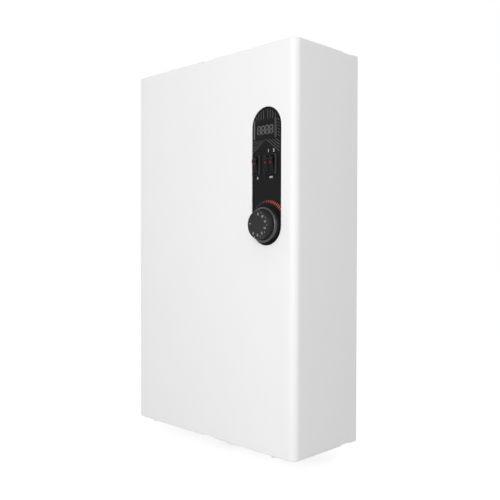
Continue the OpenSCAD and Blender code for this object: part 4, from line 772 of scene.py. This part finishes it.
class Sketch:
    """Points and faces of a piece while it is built."""

    def __init__(self) -> None:
        """Starts empty."""
        self.points: list[Vector] = []
        self.faces: list[tuple[int, ...]] = []

    def add(self, points: Iterable[Sequence[float]], faces: Iterable[Sequence[int]],
            place: Matrix | None = None) -> None:
        """Adds points and the faces between them.

        Args:
            points: The new points.
            faces: Their faces, counted from the first new point.
            place: Placement of the points.
        """
        first = len(self.points)
        self.points += [place @ Vector(p) if place else Vector(p) for p in points]
        self.faces += [tuple(first + i for i in face) for face in faces]

    def plate(self, outline: Sequence[Flat], low: float, high: float, place: Matrix) -> None:
        """Adds a flat plate.

        Args:
            outline: Its outline, anticlockwise seen from outside.
            low: Its inner face, along the outward axis.
            high: Its outer face.
            place: Placement of the drawing.
        """
        count = len(outline)
        points = [(x, y, level) for level in (low, high) for x, y in outline]
        sides = [(i, (i + 1) % count, count + (i + 1) % count, count + i) for i in range(count)]
        caps = [tuple(range(count))[::-1], tuple(range(count, 2 * count))]
        self.add(points, [*sides, *caps], place)

    def grid(self, points: Sequence[Vector], columns: int, closed: bool = False,
             flipped: bool = False) -> None:
        """Adds a net of four-sided faces.

        Args:
            points: Its points, row after row.
            columns: Points in a row.
            closed: Whether the last row joins the first.
            flipped: Whether the faces look to the other side.
        """
        rows = len(points) // columns
        faces = []
        for i in range(rows if closed else rows - 1):
            here, there = i * columns, (i + 1) % rows * columns
            for k in range(columns - 1):
                sides = (there + k, here + k + 1) if flipped else (here + k + 1, there + k)
                faces.append((here + k, sides[0], there + k + 1, sides[1]))
        self.add(points, faces)

    def piece(self, name: str, body: str, finish: Finish,
              sharp_deg: float = 35.0) -> None:
        """Turns the sketch into a piece that rides on a body.

        Args:
            name: The piece's name.
            body: The body that it rides on.
            finish: Its finish.
            sharp_deg: Edges up to this angle are shaded smooth.
        """
        mesh = bpy.data.meshes.new(name)
        mesh.from_pydata([tuple(p) for p in self.points], [], self.faces)
        mesh.validate()
        mesh.shade_smooth()
        mesh.set_sharp_from_angle(angle=math.radians(sharp_deg))
        made = new_object(name, mesh)
        mesh.materials.append(finish.material())
        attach(made, body)
        LOG.info("made %s: %d faces on %s", name, len(mesh.polygons), body)


def glyphs(sketch: Sketch, text: str, height: float, place: Matrix, proud: float,
           bold: float) -> None:
    """Adds plain figures or letters to a sketch, centred on the drawing's origin.

    Args:
        sketch: The sketch.
        text: What they say.
        height: Height of a figure.
        place: Placement of the drawing.
        proud: How far they stand out.
        bold: How much wider each side of a stroke is.
    """
    curve = bpy.data.curves.new("glyphs", "FONT")
    curve.body = text
    curve.size = height / FIGURE_SHARE
    curve.align_x = "CENTER"
    curve.align_y = "CENTER"
    curve.extrude = proud
    curve.offset = bold
    curve.resolution_u = FIGURE_STEPS
    holder = new_object("glyphs", curve)
    bpy.context.view_layer.update()
    ready = holder.evaluated_get(bpy.context.evaluated_depsgraph_get())
    mesh = bpy.data.meshes.new_from_object(ready)
    sketch.add([v.co for v in mesh.vertices], [tuple(f.vertices) for f in mesh.polygons], place)
    bpy.data.objects.remove(holder)
    bpy.data.curves.remove(curve)
    bpy.data.meshes.remove(mesh)


def upright_bar(width: float, low: float, high: float) -> list[Flat]:
    """The outline of a bar on a drawing's y axis, between two heights."""
    half = width / 2
    return [(-half, low), (half, low), (half, high), (-half, high)]


def polar(radius: float, turn: float, height: float) -> Vector:
    """The point at a radius and an angle round the z axis."""
    return Vector((radius * math.cos(turn), radius * math.sin(turn), height))


@dataclass(frozen=True)
class Extent:
    """The box of a CAD node at rest."""

    low: Vector
    high: Vector

    @classmethod
    def of(cls, node: str) -> "Extent":
        """Measures one node."""
        return cls(*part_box(node))

    @property
    def centre(self) -> Vector:
        """The middle of the box."""
        return (self.low + self.high) / 2

    @property
    def size(self) -> Vector:
        """The box's three lengths."""
        return self.high - self.low


@dataclass
class CarriedNodes:
    """The CAD nodes that are shown as they are, each in its finish."""

    smooth_nodes: tuple[str, ...] = ("wiring", "capillary_tubes")
    weld_gap: float = 0.01 * MM
    smooth_levels: int = 1

    def dress(self) -> None:
        """Gives each node the material of its finish, and rounds the faceted tubes."""
        for finish, names in NODE_FINISH.items():
            for name in names:
                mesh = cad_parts[name].data
                mesh.materials.clear()
                mesh.materials.append(finish.material())
        for name in self.smooth_nodes:
            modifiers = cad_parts[name].modifiers
            modifiers.new("weld", "WELD").merge_threshold = self.weld_gap
            rounded = modifiers.new("round", "SUBSURF")
            rounded.levels = rounded.render_levels = self.smooth_levels
        LOG.info("dressed %d carried nodes", sum(len(n) for n in NODE_FINISH.values()))


@dataclass(frozen=True)
class Scale:
    """The scale printed over the knob, its marks longer towards the hot end."""

    marks: int = 19
    first_deg: float = 50.0
    last_deg: float = -50.0
    inner_r: float = 33.0 * MM
    lengths: Flat = (1.5 * MM, 5.4 * MM)
    widths: Flat = (0.7 * MM, 0.9 * MM)
    cold: Colour = (0.070, 0.090, 0.30)

    def turn(self, share: float) -> float:
        """The angle of the mark that lies at a share of the scale, in radians."""
        return math.radians(self.first_deg + (self.last_deg - self.first_deg) * share)

    def outline(self, share: float) -> list[Flat]:
        """The outline of the mark that lies at a share of the scale, drawn upright."""
        length, width = (low + (high - low) * share
                         for low, high in (self.lengths, self.widths))
        return upright_bar(width, self.inner_r, self.inner_r + length)


@dataclass(frozen=True)
class Mark:
    """A plain figure or word at a switch, its shift counted in the pitch of the keys."""

    text: str
    switch: str
    shift: float
    rise: float
    height: float


@dataclass
class PanelPrint:
    """The ink on the control panel: switch marks, scale round the knob and fine stripes."""

    thickness: float = 0.04 * MM
    bold: float = 0.14 * MM
    marks: tuple[Mark, ...] = (
        Mark("0", "single_switch_body", shift=0.2, rise=-19.2 * MM, height=3.6 * MM),
        Mark("1", "double_switch_body", shift=-0.4, rise=20.1 * MM, height=4.4 * MM),
        Mark("2", "double_switch_body", shift=0.65, rise=20.1 * MM, height=4.4 * MM),
        Mark("OFF", "double_switch_body", shift=0.14, rise=-19.2 * MM, height=2.6 * MM),
    )
    scale: Scale = Scale()
    stripe_w: float = 0.38 * MM
    stripe_pitch: float = 6.2 * MM
    stripe_slope: float = 0.74
    upright_pitch: float = 5.0 * MM
    slanted_from: float = 0.15  # Both starts are counted in pitches.
    upright_from: float = 0.85
    margin: float = 3.8 * MM
    stripes: int = 4
    side_stripes: int = 6

    def build(self) -> None:
        """Prints every mark on the fascia."""
        self.fascia = Extent.of("fascia_plate")
        self.knob = Extent.of("thermostat_knob").centre
        self.switch_marks()
        self.knob_scale()
        self.pinstripes()

    def on_fascia(self, x: float, z: float) -> Matrix:
        """Placement of a drawing on the fascia's face."""
        return facing_front((x, self.fascia.low.y, z))

    def switch_marks(self) -> None:
        """Prints the plain figures at the switches."""
        sketch = Sketch()
        first, second = (Extent.of(f"stage_{i}_rocker").centre.x for i in (1, 2))
        for mark in self.marks:
            switch = Extent.of(mark.switch).centre
            place = self.on_fascia(switch.x + mark.shift * (second - first), switch.z + mark.rise)
            glyphs(sketch, mark.text, mark.height, place, self.thickness, self.bold)
        sketch.piece("switch_marks", "chassis", Paint.WHITE_INK)

    def knob_scale(self) -> None:
        """Prints the scale over the knob."""
        sketch = Sketch()
        for i in range(self.scale.marks):
            share = i / (self.scale.marks - 1)
            turned = Matrix.Rotation(self.scale.turn(share), 4, "Z")
            place = self.on_fascia(self.knob.x, self.knob.z) @ turned
            sketch.plate(self.scale.outline(share), -self.thickness, self.thickness, place)
        ink = ArcInk("scale_ink", self.scale.cold, 0.5, 0.0, centre=self.knob.x,
                     reach=self.scale.inner_r)
        sketch.piece("knob_scale", "chassis", ink)

    def pinstripes(self) -> None:
        """Prints hairlines: slanted below and beside the display, upright above it."""
        sketch = Sketch()
        display = Extent.of("display_bezel")
        middle, cap_r = display.centre.x, WINDOW_W / 2
        reach = cap_r - self.margin / 2
        beside = display.size.x / 2 + self.stripe_w
        for side in (-1, 1):
            for i in range(self.stripes):
                inner = (i + self.slanted_from) * self.stripe_pitch
                start = (middle + side * inner, display.low.z - self.stripe_w)
                end = (middle + side * reach, start[1] - (reach - inner) * self.stripe_slope)
                self.stripe(sketch, start, end)
                across = (i + self.upright_from) * self.upright_pitch
                arc = WINDOW_TOP - cap_r + math.sqrt(cap_r ** 2 - across ** 2)
                x = middle + side * across
                self.stripe(sketch, (x, display.high.z + self.stripe_w), (x, arc - self.margin))
            for i in range(1, self.side_stripes + 1):
                level = display.low.z + i * self.stripe_pitch * self.stripe_slope
                fall = (reach - beside) * self.stripe_slope
                self.stripe(sketch, (middle + side * beside, level),
                            (middle + side * reach, level - fall))
        sketch.piece("panel_stripes", "chassis", Paint.GREY_INK)

    def stripe(self, sketch: Sketch, start: Flat, end: Flat) -> None:
        """Adds one hairline.

        Args:
            sketch: The sketch.
            start: One end, as x and z.
            end: The other end.
        """
        along = Vector(end) - Vector(start)
        place = self.on_fascia(*start) @ Matrix.Rotation(math.atan2(along.y, along.x), 4, "Z")
        length, half = along.length, self.stripe_w / 2
        sketch.plate([(0, -half), (length, -half), (length, half), (0, half)],
                     -self.thickness, self.thickness, place)


@dataclass
class DisplayFigures:
    """The unlit seven-bar figures of the display, laid on its pane."""

    figures: int = 4
    height: float = 12.2 * MM
    width: float = 5.9 * MM
    pitch: float = 8.3 * MM
    bar: float = 1.35 * MM
    tip_share: float = 0.4
    drop: float = 1.2 * MM
    proud: float = 0.05 * MM
    clear: float = 0.02 * MM

    def build(self) -> None:
        """Builds the bars of every figure."""
        pane = Extent.of("display_glass")
        middle = pane.centre
        level = pane.low.y - self.proud - self.clear
        face = facing_front((middle.x, level, middle.z - self.drop))
        sketch = Sketch()
        for i in range(self.figures):
            shift = (i - (self.figures - 1) / 2) * self.pitch
            for outline in self.bars():
                sketch.plate([(x + shift, y) for x, y in outline], 0.0, self.proud, face)
        sketch.piece("display_figures", "chassis", Paint.SEGMENT_INK)

    def bars(self) -> list[list[Flat]]:
        """The outlines of one figure's seven bars."""
        w, h, b = self.width / 2, self.height / 2, self.bar / 2
        level = [[(along, z + out) for along, out in self.sliver(b - w, w - b)]
                 for z in (-h, 0.0, h)]
        clear = self.tip_share * b
        upright = [[(x - out, z + along) for along, out in self.sliver(clear, h - clear)]
                   for x in (-w, w) for z in (-h, 0.0)]
        return level + upright

    def sliver(self, start: float, end: float) -> list[Flat]:
        """The outline of one bar with pointed ends, as places along and out from its middle."""
        b = self.bar / 2
        return [(start, 0.0), (start + b, -b), (end - b, -b),
                (end, 0.0), (end - b, b), (start + b, b)]


@dataclass
class DialMarks:
    """The figures and marks printed round the knob's face, and its off mark."""

    figure_h: float = 2.9 * MM
    figure_r: float = 15.4 * MM
    dot_r: float = 18.4 * MM
    dot_size: float = 0.62 * MM
    dot_sides: int = 12
    bold: float = 0.08 * MM
    thickness: float = 0.03 * MM
    first_deg: float = 5.0
    step_deg: float = 35.0
    highest: int = 90
    step: int = 10
    count: int = 7
    off_deg: float = 275.0
    off_size: Flat = (0.9 * MM, 3.6 * MM)

    def build(self) -> None:
        """Prints the dial."""
        knob = Extent.of("thermostat_knob")
        self.face = facing_front((knob.centre.x, knob.low.y, knob.centre.z))
        sketch = Sketch()
        outwards = Matrix.Translation((0, self.figure_r, 0)) @ Matrix.Rotation(math.pi / 2, 4, "Z")
        turns = [2 * math.pi * k / self.dot_sides for k in range(self.dot_sides)]
        dot = [(self.dot_size * math.cos(a), self.dot_r + self.dot_size * math.sin(a))
               for a in turns]
        for i in range(self.count):
            angle = self.first_deg + i * self.step_deg
            glyphs(sketch, str(self.highest - i * self.step), self.figure_h,
                   self.turned(angle) @ outwards, self.thickness, self.bold)
            if i + 1 < self.count:
                self.mark(sketch, dot, angle + self.step_deg / 2)
        width, length = self.off_size
        low, high = self.figure_r - length / 2, self.figure_r + length / 2
        self.mark(sketch, upright_bar(width, low, high), self.off_deg)
        sketch.piece("dial_marks", "dial", Paint.DIAL_INK)

    def mark(self, sketch: Sketch, outline: Sequence[Flat], clockwise_deg: float) -> None:
        """Adds one flat mark, its outline drawn at the top and turned from there."""
        sketch.plate(outline, -self.thickness, self.thickness, self.turned(clockwise_deg))

    def turned(self, clockwise_deg: float) -> Matrix:
        """Placement of a drawing on the knob's face, turned from the top."""
        return self.face @ Matrix.Rotation(math.radians(-clockwise_deg), 4, "Z")


@dataclass
class PipeThreads:
    """Threads on the two connections below the casing."""

    crest: float = 0.55 * MM
    pitch: float = 1.81 * MM
    length: float = 21 * MM
    radius: float = 13.2 * MM
    proud: float = 0.02 * MM
    sides: int = 48
    steps: int = 4
    smooth_deg: float = 50.0

    def build(self) -> None:
        """Cuts a thread on each connection."""
        for name, x in (("flow", FLOW_X), ("return", RETURN_X)):
            foot = Extent.of(f"{name}_pipe").low.z
            self.helix(f"{name}_thread", Vector((x, PIPE_Y, foot)))

    def helix(self, name: str, foot: Vector) -> None:
        """Builds one thread as a ridged sleeve.

        Args:
            name: The piece's name.
            foot: Middle of its lower end.
        """
        rows = int(self.length / self.pitch * self.steps) + 1
        points = []
        for i in range(rows + 1):
            ridge = 1.0 - abs(i % self.steps * 2.0 / self.steps - 1.0)
            for k in range(self.sides + 1):
                share = k / self.sides
                height = min(self.length, max(0.0, (i / self.steps + share - 0.5) * self.pitch))
                r = self.radius + self.proud - self.crest * ridge
                points.append(foot + polar(r, 2 * math.pi * share, height))
        sketch = Sketch()
        sketch.grid(points, self.sides + 1)
        sketch.piece(name, "chassis", Paint.BRASS, self.smooth_deg)


@dataclass
class TankSeams:
    """The welded seams that join the heating tank's two ends to its shell."""

    inset: float = 11 * MM
    width: float = 4.4 * MM
    proud: float = 0.8 * MM
    ripple: float = 0.25 * MM
    ripples: int = 96
    steps: int = 3
    across: int = 6
    smooth_deg: float = 50.0

    def build(self) -> None:
        """Lays both seams round the tank."""
        tank = Extent.of("heating_tank")
        self.radius = tank.size.y / 2
        self.middle = Vector((tank.low.x + self.radius, tank.centre.y, 0.0))
        sketch = Sketch()
        for level in (TANK_TOP - self.inset, TANK_BOTTOM + self.inset):
            self.seam(sketch, level)
        sketch.piece("tank_seams", "chassis", Paint.WELD, self.smooth_deg)

    def seam(self, sketch: Sketch, level: float) -> None:
        """Adds one seam as a rippled bead.

        Args:
            sketch: The sketch.
            level: Its height.
        """
        sides = self.ripples * self.steps
        points = []
        for k in range(sides):
            lean = abs(math.sin(math.pi * (k % self.steps) / self.steps))
            for i in range(self.across + 1):
                share = i / self.across * 2.0 - 1.0
                crown = self.proud * (1.0 - share * share)
                crown += self.ripple * lean * (1.0 - abs(share))
                r = self.radius + crown - self.ripple / 2
                height = level + share * self.width / 2 + self.ripple * lean
                points.append(self.middle + polar(r, 2 * math.pi * k / sides, height))
        sketch.grid(points, self.across + 1, closed=True, flipped=True)


@dataclass
class SpeedPointer:
    """The white pointer printed on the pump's speed knob."""

    width: float = 1.1 * MM
    start: float = 2.0 * MM
    share: float = 0.86
    proud: float = 0.05 * MM

    def build(self) -> None:
        """Lays the pointer on the knob's face."""
        knob = Extent.of("pump_speed_knob")
        face = facing_front((knob.centre.x, knob.low.y, knob.centre.z))
        outline = upright_bar(self.width, self.start, knob.size.x / 2 * self.share)
        sketch = Sketch()
        sketch.plate(outline, -self.proud, self.proud, face)
        sketch.piece("speed_pointer", "speed_dial", Paint.WHITE_INK)


@dataclass(frozen=True)
class Lamp:
    """One square soft lamp that faces the boiler."""

    name: str
    place: Triple
    size: float
    power: float

    def hang(self) -> None:
        """Adds the lamp to the scene."""
        data = bpy.data.lights.new(self.name, "AREA")
        data.shape = "SQUARE"
        data.size = self.size
        data.energy = self.power
        made = new_object(self.name, data)
        low, high = (Vector(corner) for corner in FRAME_BOX)
        ahead = (low + high) / 2 - Vector(self.place)
        made.location = self.place
        made.rotation_mode = "QUATERNION"
        made.rotation_quaternion = ahead.to_track_quat("-Z", "Y")


@dataclass
class Studio:
    """Floor, soft lamps, pale world and the photograph's camera."""

    camera_at: Triple = (0.8097, -0.8750, -0.2464)
    yaw_deg: float = 44.572
    pitch_deg: float = -0.805
    roll_deg: float = 0.139
    focal_px: float = 668.43
    frame_px: float = 500.0
    sensor_mm: float = 36.0
    lamps: tuple[Lamp, ...] = (
        Lamp("high_softbox", (1.02, -1.96, 0.45), size=1.0, power=11.5),
        Lamp("low_softbox", (0.82, -1.53, -0.28), size=1.2, power=9.6),
        Lamp("top_strip", (0.45, -1.0, 1.9), size=0.4, power=1.6),
    )
    sky: float = 0.615
    floor_size: float = 12.0
    drop: float = 0.5 * MM
    paper: float = 0.48
    glow: float = 0.73
    plain: float = 0.6

    def build(self) -> None:
        """Sets up the whole studio."""
        self.camera()
        self.world()
        self.floor()
        for lamp in self.lamps:
            lamp.hang()
        bpy.context.scene.view_settings.view_transform = "Standard"

    def camera(self) -> None:
        """Places the camera as the casing's outline in the photograph gives it."""
        data = bpy.data.cameras.new("photo_camera")
        data.sensor_width = self.sensor_mm
        data.lens = self.focal_px / self.frame_px * self.sensor_mm
        made = new_object("photo_camera", data)
        place = Matrix.Translation(self.camera_at)
        for degrees, axis in ((self.yaw_deg, "Z"), (LEVEL_DEG + self.pitch_deg, "X"),
                              (self.roll_deg, "Z")):
            place @= Matrix.Rotation(math.radians(degrees), 4, axis)
        made.matrix_world = place
        bpy.context.scene.camera = made

    def world(self) -> None:
        """A white background over an even, weaker light."""
        world = bpy.data.worlds.new("studio")
        bpy.context.scene.world = world
        tree = NodeTree(world)
        weak, white = (tree.shader("ShaderNodeBackground", Color=(1.0, 1.0, 1.0), Strength=level)
                       for level in (self.sky, 1.0))
        shown = tree.mixed(tree.seen(), weak, white)
        tree.node("ShaderNodeOutputWorld", {"Surface": shown})

    def floor(self) -> None:
        """A white floor that keeps the soft shadow, open to views from below."""
        half = self.floor_size / 2
        level = FRAME_BOX[0][2] - self.drop
        mesh = bpy.data.meshes.new("floor")
        corners = [(-half, -half), (half, -half), (half, half), (-half, half)]
        mesh.from_pydata([(x, y, level) for x, y in corners], [], [(0, 1, 2, 3)])
        mesh.materials.append(self.floor_material())
        floor = new_object("floor", mesh)

    def floor_material(self) -> bpy.types.Material:
        """White with a shadow where it is seen, grey as a light source, clear from below."""
        tree = SurfaceTree("floor_white")
        paper, plain = (tree.shader("ShaderNodeBsdfDiffuse", Color=(tone, tone, tone))
                        for tone in (self.paper, self.plain))
        glow = tree.shader("ShaderNodeEmission", Strength=self.glow)
        lit = tree.node("ShaderNodeAddShader", {0: paper, 1: glow}).outputs[0]
        above = tree.mixed(tree.seen(), plain, lit)
        below = tree.node("ShaderNodeNewGeometry").outputs["Backfacing"]
        surface = tree.mixed(below, above, tree.shader("ShaderNodeBsdfTransparent"))
        tree.node("ShaderNodeOutputMaterial", {"Surface": surface})
        return tree.material


def main() -> None:
    """Builds every sub-assembly in order."""
    logging.basicConfig(level=logging.INFO, format="%(name)s: %(message)s")
    Studio().build()
    CarriedNodes().dress()
    PanelPrint().build()
    DisplayFigures().build()
    DialMarks().build()
    PipeThreads().build()
    TankSeams().build()
    SpeedPointer().build()


if __name__ == "__main__":
    main()
